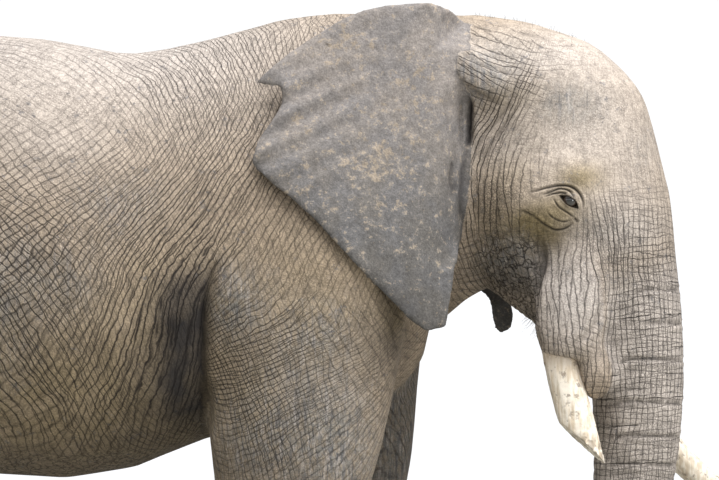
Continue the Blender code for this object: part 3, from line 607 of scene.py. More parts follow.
limb_rings = creased(shape[:, 2] + 0.016 * wander(shape, 0.12, 20), 0.060, 0.012, seed=13)
ankle = leg * fade(shape[:, 2], 0.10, 0.18) * fade(shape[:, 2], 0.62, 0.42)
press(limb_rings * ankle * np.clip(0.5 + wander(shape, 0.12, 21), 0, 1), 0.004, 0.6)
knee = leg * fade(shape[:, 2], 0.72, 0.84) * fade(shape[:, 2], 1.20, 1.05)
press(limb_rings * knee * np.clip(0.2 + wander(shape, 0.12, 22), 0, 1), 0.004, 0.6)
print("deepest push so far, mm:", round(float(-push.min()) * 1000, 1))

# %% [markdown]
# Some folds are landmarks and have to lie just so: the roll that runs from the crown to the ear's root,
# the slit behind the ear's front edge, the deep fold behind the tusk sheath and the roll of the lip.
# Each is drawn on the flank as a line of (x, z) spots in the head's level axes, made a smooth curve,
# and pressed in with raised rims.

# %% Drawn folds
CROWN_FOLDS = (  # path, depth, half width
    (((0.630, 2.862), (0.672, 2.800), (0.742, 2.735), (0.850, 2.685)), 0.012, 0.010),
    (((0.690, 2.885), (0.740, 2.850), (0.805, 2.822), (0.895, 2.795)), 0.005, 0.009),
    (((0.905, 2.790), (0.885, 2.700), (0.840, 2.640), (0.790, 2.590), (0.735, 2.505)), 0.007, 0.009),
    (((0.934, 2.740), (0.893, 2.660), (0.830, 2.580), (0.780, 2.500), (0.758, 2.420)), 0.005, 0.009),
    (((0.890, 2.955), (0.950, 2.940), (1.000, 2.928)), 0.004, 0.009),
)
SLIT = ((0.727, 2.712), (0.727, 2.640), (0.722, 2.530))
EAR_FRONT = (
    ((0.716, 2.545), (0.704, 2.460), (0.696, 2.330), (0.702, 2.200)),
    ((0.680, 2.500), (0.672, 2.420), (0.678, 2.345)),
    ((0.700, 2.720), (0.696, 2.620), (0.700, 2.540)),
)
SHEATH_FOLD = ((0.962, 2.215), (0.985, 2.165), (0.962, 2.020), (0.953, 1.880), (0.985, 1.800))
ELBOW_CLEFT = (
    (-0.250, 2.120), (-0.268, 2.070), (-0.285, 1.980), (-0.296, 1.800), (-0.300, 1.640), (-0.305, 1.500),
)  # fmt: skip
CLEFT_WIDTH, CLEFT_DEPTH = 0.022, 0.030
TRUNK_FOLDS = (
    ((1.300, 2.000), (1.350, 2.018), (1.420, 2.022), (1.500, 2.012)),
    ((1.330, 1.895), (1.380, 1.900), (1.440, 1.898), (1.510, 1.885)),
    ((1.215, 1.730), (1.270, 1.762), (1.350, 1.768), (1.510, 1.760)),
    ((1.205, 1.600), (1.280, 1.618), (1.370, 1.612), (1.510, 1.606)),
    ((1.190, 1.480), (1.270, 1.494), (1.370, 1.490), (1.500, 1.485)),
    ((1.190, 1.380), (1.270, 1.390), (1.370, 1.386), (1.490, 1.380)),
)
LIP_FOLD = ((1.120, 1.815), (1.150, 1.850), (1.185, 1.900), (1.200, 1.960))


def side_on(facing, start=0.10, end=0.35):
    """1 where the surface faces sideways, 0 along the middle of the back and belly."""
    return fade(np.abs(facing[:, 1]), start, end)


def tapered(share, fullness=1.6):
    """1 over most of a drawn line, thinning to 0 at its ends."""
    return np.clip(4 * share * (1 - share) * fullness, 0, 1) ** 0.7


def smooth_line(path, count=40):
    """A smooth curve through a few spots, evenly by distance."""
    path = np.array(path, float)
    at = np.concatenate([[0], np.cumsum(np.linalg.norm(np.diff(path, axis=0), axis=1))])
    if len(path) > 2:
        slope = np.gradient(path, at, axis=0)
    else:
        slope = np.repeat([(path[1] - path[0]) / at[1]], 2, 0)
    wanted = np.linspace(0, at[-1], count)
    seat = np.clip(np.searchsorted(at, wanted, side="right") - 1, 0, len(at) - 2)
    width = (at[seat + 1] - at[seat])[:, None]
    t = (wanted - at[seat])[:, None] / width
    near = (2 * t**3 - 3 * t**2 + 1) * path[seat] + (t**3 - 2 * t**2 + t) * width * slope[seat]
    return near + (3 * t**2 - 2 * t**3) * path[seat + 1] + (t**3 - t**2) * width * slope[seat + 1]


def from_line(places, path):
    """How far each (x, z) place is from a drawn line, and how far along it, 0 to 1."""
    line = smooth_line(path)
    away = np.full(len(places), 9.0)
    share = np.zeros(len(places))
    low, high = line.min(0) - 0.08, line.max(0) + 0.08
    near = np.flatnonzero(((places > low) & (places < high)).all(1))
    own = places[near]
    squared = ((own[:, None, :] - line[None, :, :]) ** 2).sum(2)
    best = squared.argmin(1)
    start = line[np.clip(best - 1, 0, len(line) - 3)]
    way = line[np.clip(best - 1, 0, len(line) - 3) + 2] - start
    t = np.clip(((own - start) * way).sum(1) / (way**2).sum(1), 0, 1)
    away[near] = np.linalg.norm(own - start - way * t[:, None], axis=1)
    share[near] = best / (len(line) - 1)
    return away, share


def draw_fold(path, depth, width, where, dark=1.0, rim=0.30):
    """Presses one drawn fold into both flanks, tapered at its ends, with a soft rim beside it."""
    global push
    away, share = from_line(level[:, (0, 2)], path)
    taper = tapered(share)
    press(np.exp(-((away / width) ** 2)) * taper * where, depth, dark)
    push = push + rim * depth * np.exp(-(((away - 2.1 * width) / (1.1 * width)) ** 2)) * taper * where


# Each fold's `dark` sets how dark the hide paints it: bare skin and soil, and painted shade.
face_only = head * side_on(facing_head)
for path, depth, width in CROWN_FOLDS:
    draw_fold(path, depth, width, face_only, dark=0.55)
near_ear = side_on(facing_head) * fade(level[:, 0], 0.60, 0.66)
# Painted shade: the slit is painted near black, as the shade inside it.
draw_fold(SLIT, 0.034, 0.0105, near_ear, dark=1.3, rim=0.12)
for path in EAR_FRONT:
    draw_fold(path, 0.008, 0.008, near_ear, dark=0.7)
draw_fold(SHEATH_FOLD, 0.022, 0.014, face_only, dark=0.8)
draw_fold(LIP_FOLD, 0.008, 0.009, face_only, dark=0.5)
trunk_side = np.clip(head + trunk, 0, 1) * side_on(facing_head, 0.02, 0.20)
for path in TRUNK_FOLDS:
    draw_fold(path, 0.0075, 0.0070, trunk_side, dark=0.95)
elbow_away, elbow_share = from_line(shape[:, (0, 2)], ELBOW_CLEFT)
flank_only = body * side_on(facing) * fade(np.abs(shape[:, 1]), 0.35, 0.42)
cleft = np.exp(-((elbow_away / CLEFT_WIDTH) ** 2)) * tapered(elbow_share, 1.5)
# Painted shade: the elbow's cleft is painted dark, as the shade inside it.
press(cleft * flank_only, CLEFT_DEPTH, 0.9)
shape = shape + facing * push[:, None]
print("drew", len(CROWN_FOLDS) + len(EAR_FRONT) + len(TRUNK_FOLDS) + 4, "folds on each side")

# %% [markdown]
# The lids are modelled in the eye's own axes: forward, up and outward from the middle of the ball. The
# skin there is treated as a height over the ball. It stands a few millimetres above the ball as lids,
# drops to below the ball inside an almond slit, so that the ball shows, and each lid ends in a rounded
# roll.

# %% Eyelids
LID = 0.0050  # thickness of a lid over the ball
SLIT_TILT = math.radians(-36)  # the slit runs down towards the front
SLIT_HALF = 0.041
SLIT_AT = (-0.004, -0.009)
UPPER_OPEN, LOWER_OPEN = 0.0195, 0.0110
LID_SHEET = 0.10  # how far from the eye the skin is shaped as lids
BALL_CLEAR = 0.009  # how far below the ball the skin drops inside the slit
LID_ROLLS = ((0.0045, 0.0036), (0.0035, 0.0018))  # upper, lower: way in from the edge, height
ROLL_WIDTH, RIM_WIDTH = 0.0034, 0.0022


def eye_axes(side):
    """Forward and outward for one eye, in the landmark axes."""
    forward = np.array((math.cos(HEAD_TURN), math.sin(HEAD_TURN), 0.0))
    outward = np.array((-math.sin(HEAD_TURN), math.cos(HEAD_TURN), 0.0)) * side
    return forward, outward


def lid_edges(along):
    """How far the slit opens up and down at a way along it."""
    share = np.clip(1 - (along / SLIT_HALF) ** 2, 0, 1)
    return UPPER_OPEN * share**0.85 * (1 + 0.20 * along / SLIT_HALF), -LOWER_OPEN * share**1.2


c, n = math.cos(SLIT_TILT), math.sin(SLIT_TILT)
# Painted shade: the inside of each slit and the lid rims are noted in the crease mark, which the hide paints
# near black.
for side, centre in eyes_at.items():
    forward, outward = eye_axes(side)
    local = shape - centre
    s, t, h = local @ forward, local[:, 2], local @ outward
    near = np.flatnonzero((np.hypot(s, t) < LID_SHEET) & (h > -0.06))
    s, t, h = s[near], t[near], h[near]
    r = np.hypot(s, t)
    along = (s - SLIT_AT[0]) * c + (t - SLIT_AT[1]) * n
    over = -(s - SLIT_AT[0]) * n + (t - SLIT_AT[1]) * c
    upper, lower = lid_edges(along)
    open_here = np.abs(along) < SLIT_HALF
    dome = np.sqrt(np.clip((EYE_RADIUS + LID) ** 2 - r**2, 0, None))
    blend = fade(r, 0.054, 0.018)
    lid_height = np.maximum(h, h + (np.maximum(dome, 0.010) - h) * blend)
    inside = fade(np.minimum(upper - over, over - lower), -0.0012, 0.0014) * open_here
    floor = np.sqrt(np.clip(EYE_RADIUS**2 - r**2, 0, None)) - BALL_CLEAR
    new = lid_height + (np.minimum(lid_height, np.maximum(floor, 0.004)) - lid_height) * inside
    for edge, (reach, height) in zip((over - upper, lower - over), LID_ROLLS):
        roll = np.exp(-(((edge - reach) / ROLL_WIDTH) ** 2)) * height * fade(np.abs(along), 0.042, 0.030)
        new = new + roll * (1 - inside)
    shape[near] += np.outer(new - h, outward)
    from_rim = np.minimum(np.abs(over - upper), np.abs(over - lower))
    rim_line = np.exp(-((from_rim / RIM_WIDTH) ** 2)) * open_here
    fold[near] = np.maximum(fold[near], np.maximum(inside, 0.9 * rim_line))
shape[:, 2] = np.maximum(shape[:, 2], 0.0)
set_points(skin, shape)
print("lids made round", len(eyes_at), "eyes")

# %% [markdown]
# Fine folds arc over the upper lid, pouch the lower one and run back from the corner towards the
# temple. They are drawn after the lids, so that they follow the new shape, as thin lines a few
# millimetres deep.

# %% Folds round the eyes
EYE_FOLDS = (  # path, depth, half width
    (((0.940, 2.366), (0.968, 2.371), (1.014, 2.384), (1.059, 2.391), (1.091, 2.389), (1.116, 2.376),
      (1.133, 2.355), (1.142, 2.330), (1.140, 2.301)), 0.0060, 0.0042),
    (((0.994, 2.358), (1.021, 2.366), (1.059, 2.380), (1.091, 2.373), (1.109, 2.355), (1.119, 2.333)),
     0.0042, 0.0034),
    (((1.003, 2.351), (1.038, 2.362), (1.070, 2.365), (1.095, 2.355)), 0.0032, 0.0032),
    (((1.035, 2.348), (1.055, 2.315), (1.088, 2.292), (1.109, 2.275)), 0.0036, 0.0036),
    (((1.003, 2.251), (1.038, 2.233), (1.080, 2.240), (1.105, 2.258)), 0.0040, 0.0046),
    (((1.010, 2.300), (1.035, 2.275), (1.070, 2.262), (1.100, 2.268)), 0.0024, 0.0036),
    (((0.915, 2.305), (0.940, 2.297), (0.972, 2.276), (1.003, 2.251), (1.028, 2.233)), 0.0034, 0.0040),
    (((1.109, 2.276), (1.123, 2.258)), 0.0040, 0.0040),
)  # fmt: skip
facing = normals_of(skin)
level = to_head(shape)
facing_head = head_facing(facing)
face_only = head * side_on(facing_head)
push = np.zeros(len(shape))
# Painted shade: these folds are painted darker than the rest, as shade in them.
for path, depth, width in EYE_FOLDS:
    draw_fold(path, depth, width, face_only, dark=1.25, rim=0.40)
shape = shape + facing * push[:, None]
shape[:, 2] = np.maximum(shape[:, 2], 0.0)
set_points(skin, shape)
print("drew", len(EYE_FOLDS), "folds round each eye")

# %% [markdown]
# A material can only follow the lie of the skin if the skin carries it. On the body two families of
# creases cross, and their slopes turn from place to place. They are combed in, as a groomer combs fur:
# a few guides say which way each family runs at a spot, how far apart its creases come and how strong
# they are. A least-squares fit over a grid then gives a smooth height map whose contour lines are the
# creases. The girth is unrolled first, so that the pattern isn't squeezed on the back and belly. The
# foreleg's guides are fitted apart from the flank's, because the creases change their way at the
# elbow's cleft; above the elbow the two maps are held to be the same.

# %% Combing the body
GIRTH_MIDDLE, GIRTH_RADIUS = 2.05, 0.80
BARREL_HALF_WIDTH, BARREL_HALF_HEIGHT = 0.68, 0.86
BODY_SHEET = ((-2.75, 0.55), 0.07, (56, 44), 0.09)  # lowest corner, cell, cells each way, reach of a guide
SPACING_CARE = 0.30  # how much the fit minds the spacing, against 1 for the slope
TWIST_CARE = 0.15  # how much it minds twist inside a cell
LEG_REAR, LEG_TOP = -0.305, 2.10  # guides ahead of this and below it are the foreleg's
SHARED_REAR = -1.0  # flank guides ahead of this count for the foreleg's map as well
JOINED = (2.16, 2.34)  # heights between which the two maps become one
CLEFT_BLEND = 0.010  # half the width of the change from one map to the other
HOLD_POWERS = (1.1, 1.4)  # above 1 thins out a family's weaker creases
FAR_SIDE = 5.0  # keeps the two sides of the animal from being alike
RISING = (  # x, height, slope in degrees, spacing in millimetres, strength
    (-0.26, 2.35, 57, 19, 1), (-0.33, 2.46, 52, 20, 0.8), (-0.18, 2.54, 57, 20, 0.8),
    (-0.41, 2.17, 54, 19, 1), (-0.52, 2.17, 56, 18, 1), (-0.46, 2.32, 50, 18, 0.9),
    (-0.59, 2.43, 42, 20, 0.6), (-0.67, 2.24, 44, 20, 0.8), (-0.7, 2.46, 33, 24, 0.5),
    (-0.85, 2.43, 22, 24, 0.5), (-0.85, 2.35, 28, 20, 0.6), (-1, 2.35, 25, 22, 0.5),
    (-0.96, 2.24, 30, 18, 0.8), (-0.85, 2.13, 40, 16, 0.9), (-0.7, 2.09, 55, 13, 0.6),
    (-1, 2.02, 35, 16, 0.8), (-0.89, 1.95, 32, 18, 0.6), (-0.7, 1.98, 45, 15, 0.5),
    (-0.59, 2.06, 74, 18, 0.9), (-0.61, 1.87, 80, 18, 0.9), (-0.52, 1.98, 76, 20, 1),
    (-0.43, 2.06, 66, 20, 1), (-0.35, 2.13, 60, 20, 1), (-0.28, 2.17, 57, 20, 0.9),
    (-0.46, 1.87, 80, 20, 1), (-0.39, 1.87, 84, 18, 1), (-0.31, 1.87, 88, 15, 1),
    (-0.56, 1.76, 72, 18, 0.9), (-0.63, 1.72, 65, 18, 0.9), (-0.67, 1.61, 74, 18, 0.9),
    (-0.7, 1.46, 82, 24, 0.6), (-0.52, 1.61, 74, 18, 0.9), (-0.39, 1.65, 80, 16, 0.9),
    (-0.59, 1.5, 80, 24, 0.6), (-0.85, 1.8, 40, 24, 0.35), (-1, 1.72, 30, 26, 0.4),
    (-0.85, 1.61, 38, 24, 0.35), (-0.96, 1.46, 20, 28, 0.3), (-0.18, 1.98, 50, 18, 0.5),
    (-0.24, 1.83, 45, 17, 0.8), (-0.15, 1.8, 32, 16, 0.85), (-0.04, 1.83, 28, 16, 0.85),
    (-0.18, 1.65, 30, 16, 0.85), (-0.04, 1.61, 25, 18, 0.7), (0.15, 1.76, 18, 22, 0.5),
    (0.22, 1.58, 10, 22, 0.5), (0.04, 1.43, 15, 24, 0.5), (-0.18, 1.46, 25, 22, 0.4),
    (-0.15, 2.28, 68, 22, 0.6), (-0.04, 2.2, 78, 22, 0.5), (0.07, 2.09, 80, 26, 0.35),
    (-0.07, 2.06, 70, 24, 0.35), (0.22, 1.95, 80, 26, 0.3), (-0.85, 2.87, 40, 26, 0.15),
    (-0.52, 2.87, 60, 26, 0.2), (-0.22, 2.87, 75, 28, 0.3), (-0.07, 2.94, 80, 28, 0.4),
    (-0.85, 2.72, 40, 28, 0.1), (-0.85, 2.57, 35, 28, 0.2), (-0.52, 2.65, 60, 28, 0.2),
    (-1.3, 2, 30, 22, 0.7), (-1.6, 1.8, 40, 24, 0.8), (-1.55, 2.4, 30, 28, 0.5), (-1.9, 2.2, 35, 28, 0.6),
    (-1.9, 1.6, 12, 26, 0.8), (-2.3, 2.1, 60, 28, 0.6), (-1.3, 1.55, 25, 26, 0.6),
    (-1.3, 2.75, 35, 28, 0.2), (-0.9, 1.2, 15, 28, 0.5), (0.35, 2.55, 80, 26, 0.5),
    (0.15, 2.85, 80, 28, 0.4), (-1.9, 1.2, 15, 26, 0.6),
)  # fmt: skip
FALLING = (
    (-0.56, 2.84, -32, 26, 0.7), (-0.67, 2.87, -15, 26, 0.6), (-0.85, 2.87, -8, 24, 0.4),
    (-1, 2.89, -8, 20, 0.6), (-0.48, 2.78, -50, 26, 0.8), (-0.44, 2.7, -72, 26, 0.7),
    (-0.39, 2.76, -62, 24, 0.8), (-0.35, 2.68, -70, 24, 0.7), (-0.31, 2.81, -48, 26, 0.8),
    (-0.27, 2.77, -66, 26, 0.8), (-0.18, 2.85, -62, 26, 0.8), (-0.1, 2.88, -62, 26, 0.8),
    (0, 2.88, -75, 26, 0.6), (-0.22, 2.69, -75, 28, 0.5), (-0.7, 2.72, -28, 28, 0.3),
    (-0.85, 2.72, -26, 28, 0.25), (-0.96, 2.69, -28, 28, 0.3), (-0.93, 2.57, -40, 26, 0.45),
    (-1, 2.59, -28, 26, 0.5), (-0.74, 2.57, -35, 28, 0.35), (-0.63, 2.69, -45, 28, 0.35),
    (-0.85, 2.46, -50, 26, 0.4), (-1, 2.46, -38, 22, 0.6), (-1, 2.35, -32, 18, 0.8),
    (-0.85, 2.3, -38, 20, 0.7), (-0.96, 2.2, -42, 18, 0.9), (-0.74, 2.2, -45, 22, 0.5),
    (-0.59, 2.28, -65, 26, 0.4), (-0.44, 2.35, -72, 30, 0.3), (-0.85, 2.09, -50, 18, 0.8),
    (-1, 2.06, -42, 18, 0.9), (-1, 1.91, -45, 18, 0.9), (-0.89, 1.91, -52, 18, 1),
    (-0.78, 1.91, -62, 18, 0.9), (-0.7, 1.95, -72, 17, 0.6), (-0.89, 1.72, -56, 18, 1),
    (-0.8, 1.69, -62, 18, 1), (-1, 1.69, -48, 20, 0.9), (-0.74, 1.58, -76, 20, 0.8),
    (-0.89, 1.54, -62, 20, 0.9), (-1, 1.54, -60, 22, 0.8), (-0.96, 1.43, -85, 24, 0.7),
    (-0.85, 1.43, -82, 24, 0.6), (-0.63, 1.98, -80, 22, 0.35), (-0.56, 1.87, -82, 24, 0.25),
    (-0.37, 1.61, -60, 20, 0.2), (-0.24, 1.83, -62, 18, 0.8), (-0.18, 1.69, -60, 18, 0.95),
    (-0.13, 1.61, -58, 18, 0.95), (-0.22, 1.5, -70, 22, 0.5), (-0.07, 1.5, -62, 18, 0.9),
    (-0.04, 1.8, -65, 22, 0.5), (0.04, 1.61, -70, 22, 0.5), (0.15, 1.87, -78, 24, 0.5),
    (0.22, 1.8, -84, 24, 0.5), (0.22, 1.54, -75, 28, 0.3), (0.15, 1.43, -65, 28, 0.3),
    (-0.11, 1.98, -80, 26, 0.3), (0.04, 2.13, -85, 22, 0.45), (-0.15, 2.43, -75, 28, 0.35),
    (0.11, 2.02, -85, 24, 0.3), (-1.3, 2.3, -30, 24, 0.8), (-1.4, 1.8, -45, 24, 0.8),
    (-1.9, 2.45, -35, 28, 0.8), (-1.9, 1.8, -65, 28, 0.8), (-2.3, 2.2, -30, 28, 0.7),
    (-1.25, 2.75, -14, 28, 0.7), (-1.2, 1.5, -50, 24, 0.7), (-0.9, 1.15, -75, 28, 0.6),
    (0.35, 2.55, -12, 28, 0.5), (0.15, 2.85, -40, 28, 0.5), (-1.9, 1.2, -75, 26, 0.6),
)  # fmt: skip


def combed(guides, sheet, place_of, tied=None, tie=0):
    """A grid whose contour lines, at whole numbers, follow the guides, and a grid of their strength."""
    low, cell, (columns, rows), reach = sheet
    x = low[0] + cell * np.arange(columns)
    z = low[1] + cell * np.arange(rows)
    spot_x, spot_z, slope, spacing, strength = np.array(guides, float).T
    spot_u = place_of(spot_z)
    stretch = (place_of(spot_z + 0.01) - place_of(spot_z - 0.01)) / 0.02
    way = np.column_stack((np.cos(np.radians(slope)), np.sin(np.radians(slope)) * stretch))
    way /= np.linalg.norm(way, axis=1)[:, None]
    mid_x, mid_z = x[:-1] + cell / 2, z[:-1] + cell / 2
    away = (mid_x[:, None, None] - spot_x) ** 2 + (mid_z[None, :, None] - spot_u) ** 2
    weight = 1 / (away + reach**2) ** 2
    weight /= weight.sum(2)[:, :, None]
    run = (weight @ way).reshape(-1, 2)
    run /= np.linalg.norm(run, axis=1)[:, None]
    rate = (weight @ (1000 / spacing)).ravel() * cell
    index = np.arange(columns * rows).reshape(columns, rows)
    corners = [part.ravel() for part in (index[:-1, :-1], index[1:, :-1], index[:-1, 1:], index[1:, 1:])]
    along, across, twist = [], [], []
    for sign_x, sign_z in ((-1, -1), (1, -1), (-1, 1), (1, 1)):
        along.append((run[:, 0] * sign_x + run[:, 1] * sign_z) / 2)
        across.append((-run[:, 1] * sign_x + run[:, 0] * sign_z) / 2 * SPACING_CARE)
        twist.append(np.full(len(rate), sign_x * sign_z * TWIST_CARE))
    aim = np.zeros(columns * rows)
    matrix = np.zeros((columns * rows, columns * rows))
    for one in range(4):
        np.add.at(aim, corners[one], across[one] * rate * SPACING_CARE)
        for two in range(4):
            product = along[one] * along[two] + across[one] * across[two] + twist[one] * twist[two]
            np.add.at(matrix, (corners[one], corners[two]), product)
    if tied is None:
        matrix[0, 0] += 1
    else:
        held = np.tile(tie, columns)
        matrix[np.diag_indices(len(held))] += held
        aim += held * tied.ravel()
    lines = np.linalg.solve(matrix, aim)
    far = (x[:, None, None] - spot_x) ** 2 + (z[None, :, None] - spot_u) ** 2
    weight = 1 / (far + reach**2) ** 2
    return lines.reshape(columns, rows), weight @ strength / weight.sum(2)


def read_grid(grid, sheet, x, z):
    """Reads a grid between its cells, on a smooth curve each way."""
    low, cell = sheet[0], sheet[1]
    i = np.clip((x - low[0]) / cell, 1, grid.shape[0] - 2.001)
    j = np.clip((z - low[1]) / cell, 1, grid.shape[1] - 2.001)
    i0, j0 = i.astype(int), j.astype(int)
    total = np.zeros(len(x))
    weights = []
    for t in (i - i0, j - j0):
        weights.append((
            -0.5 * t + t**2 - 0.5 * t**3, 1 - 2.5 * t**2 + 1.5 * t**3,
            0.5 * t + 2 * t**2 - 1.5 * t**3, -0.5 * t**2 + 0.5 * t**3,
        ))  # fmt: skip
    for a in range(4):
        for b in range(4):
            near_i = np.clip(i0 + a - 1, 0, grid.shape[0] - 1)
            near_j = np.clip(j0 + b - 1, 0, grid.shape[1] - 1)
            total += weights[0][a] * weights[1][b] * grid[near_i, near_j]
    return total


def unroll(height, half_width):
    """Height on the unrolled girth of a place at a height and a distance from the mid plane."""
    return GIRTH_MIDDLE + GIRTH_RADIUS * np.arctan2(height - GIRTH_MIDDLE, half_width + 0.02)


def barrel_place(height):
    """The unrolled height of a place on the flank of an oval barrel."""
    part = np.clip((height - GIRTH_MIDDLE) / BARREL_HALF_HEIGHT, -0.97, 0.97)
    return unroll(height, BARREL_HALF_WIDTH * np.sqrt(1 - part**2))


facing = normals_of(skin)
unrolled = unroll(shape[:, 2], np.abs(shape[:, 1]))
flow, comb = [], []
elbow_line = smooth_line(ELBOW_CLEFT)[::-1]
edge_x = np.interp(shape[:, 2], elbow_line[:, 1], elbow_line[:, 0])
behind = fade(shape[:, 0], edge_x + CLEFT_BLEND, edge_x - CLEFT_BLEND)
sheet_height = BODY_SHEET[0][1] + BODY_SHEET[1] * np.arange(BODY_SHEET[2][1])
above_elbow = fade(sheet_height, *(barrel_place(height) for height in JOINED))
for guides, power in zip((RISING, FALLING), HOLD_POWERS):
    of_leg = [guide for guide in guides if guide[0] > LEG_REAR and guide[1] < LEG_TOP]
    of_flank = [guide for guide in guides if guide not in of_leg]
    above = [guide for guide in of_flank if guide[1] > LEG_TOP and guide[0] > SHARED_REAR]
    flank = combed(of_flank, BODY_SHEET, barrel_place)
    shoulder = combed(of_leg + above, BODY_SHEET, barrel_place, flank[0], above_elbow)
    for made, grids in ((flow, (flank[0], shoulder[0])), (comb, (flank[1], shoulder[1]))):
        rear, front = (read_grid(grid, BODY_SHEET, shape[:, 0], unrolled) for grid in grids)
        made.append(front + (rear - front) * behind)
    comb[-1] = np.clip(comb[-1], 0, 1) ** power
flow.append(np.where(shape[:, 1] > 0, FAR_SIDE, 0.0))
print("combed", len(RISING) + len(FALLING), "guides on the body")

# %% [markdown]
# The head has its own two families. One comes down from the crown in the folds before the ear, drops
# over the cheek and hangs down the sheath and trunk root. The other crosses it, on the crown roll, the
# jaw and the trunk root. Both nearly die out on the forehead and temple, where the skin is tight over
# bone.

# %% Combing the head
HEAD_SHEET = ((0.45, 0.95), 0.045, (28, 49), 0.045)
HEAD_HOLD_POWERS = (1.2, 1.5)
HANGING = (  # x and height in the head's level axes, slope in degrees, spacing in millimetres, strength
    (0.91, 2.76, 60, 18, 0.8), (0.87, 2.67, 58, 16, 0.95), (0.8, 2.59, 50, 16, 0.95),
    (0.74, 2.51, 65, 16, 0.95), (0.72, 2.43, 82, 15, 0.9), (0.71, 2.27, 88, 16, 0.8),
    (0.73, 2.13, 105, 18, 0.7), (0.8, 2.45, 84, 19, 0.9), (0.79, 2.34, 86, 19, 0.9),
    (0.87, 2.41, 85, 22, 0.8), (0.87, 2.31, 94, 22, 0.8), (0.84, 2.51, 72, 18, 0.6),
    (0.92, 2.56, 65, 22, 0.25), (0.99, 2.66, 70, 25, 0.1), (1.09, 2.56, 90, 28, 0),
    (1.23, 2.7, 90, 30, 0.05), (1.33, 2.41, 100, 28, 0.2), (1.2, 2.28, 108, 26, 0.7),
    (1.25, 2.16, 110, 24, 0.9), (1.33, 2.13, 102, 28, 0.9), (1.4, 2.2, 95, 28, 0.6),
    (1.19, 2.1, 104, 22, 0.9), (1.09, 2.13, 78, 22, 0.6), (1.04, 2.05, 74, 20, 0.7),
    (1.05, 2.23, 80, 22, 0.15), (0.97, 2.34, 85, 22, 0.15), (0.8, 2.16, 100, 22, 0.6),
    (0.91, 2.13, 105, 22, 0.5), (1.05, 1.95, 88, 17, 0.7), (1.16, 1.87, 84, 17, 0.7),
    (1, 1.98, 90, 18, 0.6), (1.19, 2, 82, 20, 0.7), (1.09, 1.86, 88, 17, 0.7), (0.9, 1.9, 100, 20, 0.6),
    (1.08, 2.34, 88, 24, 0), (1.05, 2.8, 85, 26, 0.05), (0.73, 2.85, 60, 20, 0.05),
    (0.82, 2.81, 60, 20, 0.05), (0.66, 2.75, 60, 20, 0.05), (1.15, 2.45, 95, 26, 0.05),
    (1.3, 1.95, 97, 22, 0.8), (1.24, 1.8, 95, 20, 0.75), (1.36, 1.8, 94, 24, 0.7),
    (1.3, 1.62, 90, 20, 0.7), (1.26, 1.45, 87, 18, 0.7), (1.3, 1.25, 86, 18, 0.7),
    (1.24, 1.05, 88, 18, 0.7), (1.4, 1.5, 90, 20, 0.6),
)  # fmt: skip
CROSSING = (
    (0.73, 2.85, -28, 22, 0.85), (0.82, 2.81, -20, 20, 0.9), (0.89, 2.8, -12, 20, 0.7),
    (0.73, 2.77, -40, 22, 0.7), (0.82, 2.71, -32, 20, 0.8), (1.01, 2.84, -2, 26, 0.45),
    (0.93, 2.93, -30, 24, 0.6), (1.09, 2.76, 0, 30, 0.1), (1.23, 2.66, 0, 30, 0.08),
    (1.38, 2.3, 0, 30, 0.5), (1.38, 2.16, 0, 34, 0.8), (1.26, 2.23, 5, 34, 0.3), (0.8, 2.38, 5, 26, 0.15),
    (0.87, 2.23, -20, 22, 0.4), (0.8, 2.13, 15, 22, 0.7), (0.91, 2.16, 30, 22, 0.7),
    (1.09, 2.09, -10, 28, 0.15), (1.37, 2.49, 0, 30, 0.1), (1.09, 2.56, 0, 30, 0), (1.08, 2.34, 0, 28, 0),
    (1.06, 1.92, -20, 22, 0.2), (1.16, 1.85, -25, 18, 0.5), (0.9, 1.9, 20, 20, 0.6),
    (1.25, 2.05, 5, 26, 0.5), (0.87, 2.67, -20, 20, 0.1), (0.8, 2.59, -10, 22, 0.1),
    (0.74, 2.51, 0, 22, 0.1), (0.87, 2.41, 0, 26, 0.1), (0.97, 2.45, 0, 26, 0.05), (1.1, 2, -5, 26, 0.1),
    (1.35, 1.95, 4, 30, 0.8), (1.22, 1.8, 4, 28, 0.3), (1.38, 1.75, 2, 22, 0.7), (1.28, 1.6, 3, 20, 0.7),
    (1.26, 1.42, 0, 20, 0.7), (1.26, 1.2, -2, 20, 0.7),
)  # fmt: skip

trunk_low = trunk * fade(trunk_run, 1.05, 1.35)
face_share = np.clip(head + trunk - trunk_low, 0, 1)
head_x = level[:, 0] + 0.5 * (0.30 - np.abs(level[:, 1])) * fade(level[:, 0], 1.0, 1.3)
face = []
for family, guides in enumerate((HANGING, CROSSING)):
    lines, strength = combed(guides, HEAD_SHEET, lambda height: height)
    face.append(read_grid(lines, HEAD_SHEET, head_x, level[:, 2]))
    on_face = np.clip(read_grid(strength, HEAD_SHEET, head_x, level[:, 2]), 0, 1)
    on_face = on_face ** HEAD_HOLD_POWERS[family]
    on_face *= 1 - 0.8 * fade(facing[:, 2], 0.70, 0.95)  # the crown's top is bare and tight
    comb[family] += (on_face - comb[family]) * face_share
face.append(np.where(level[:, 1] > 0, FAR_SIDE, 0.0))
print("combed", len(HANGING) + len(CROSSING), "guides on the head")
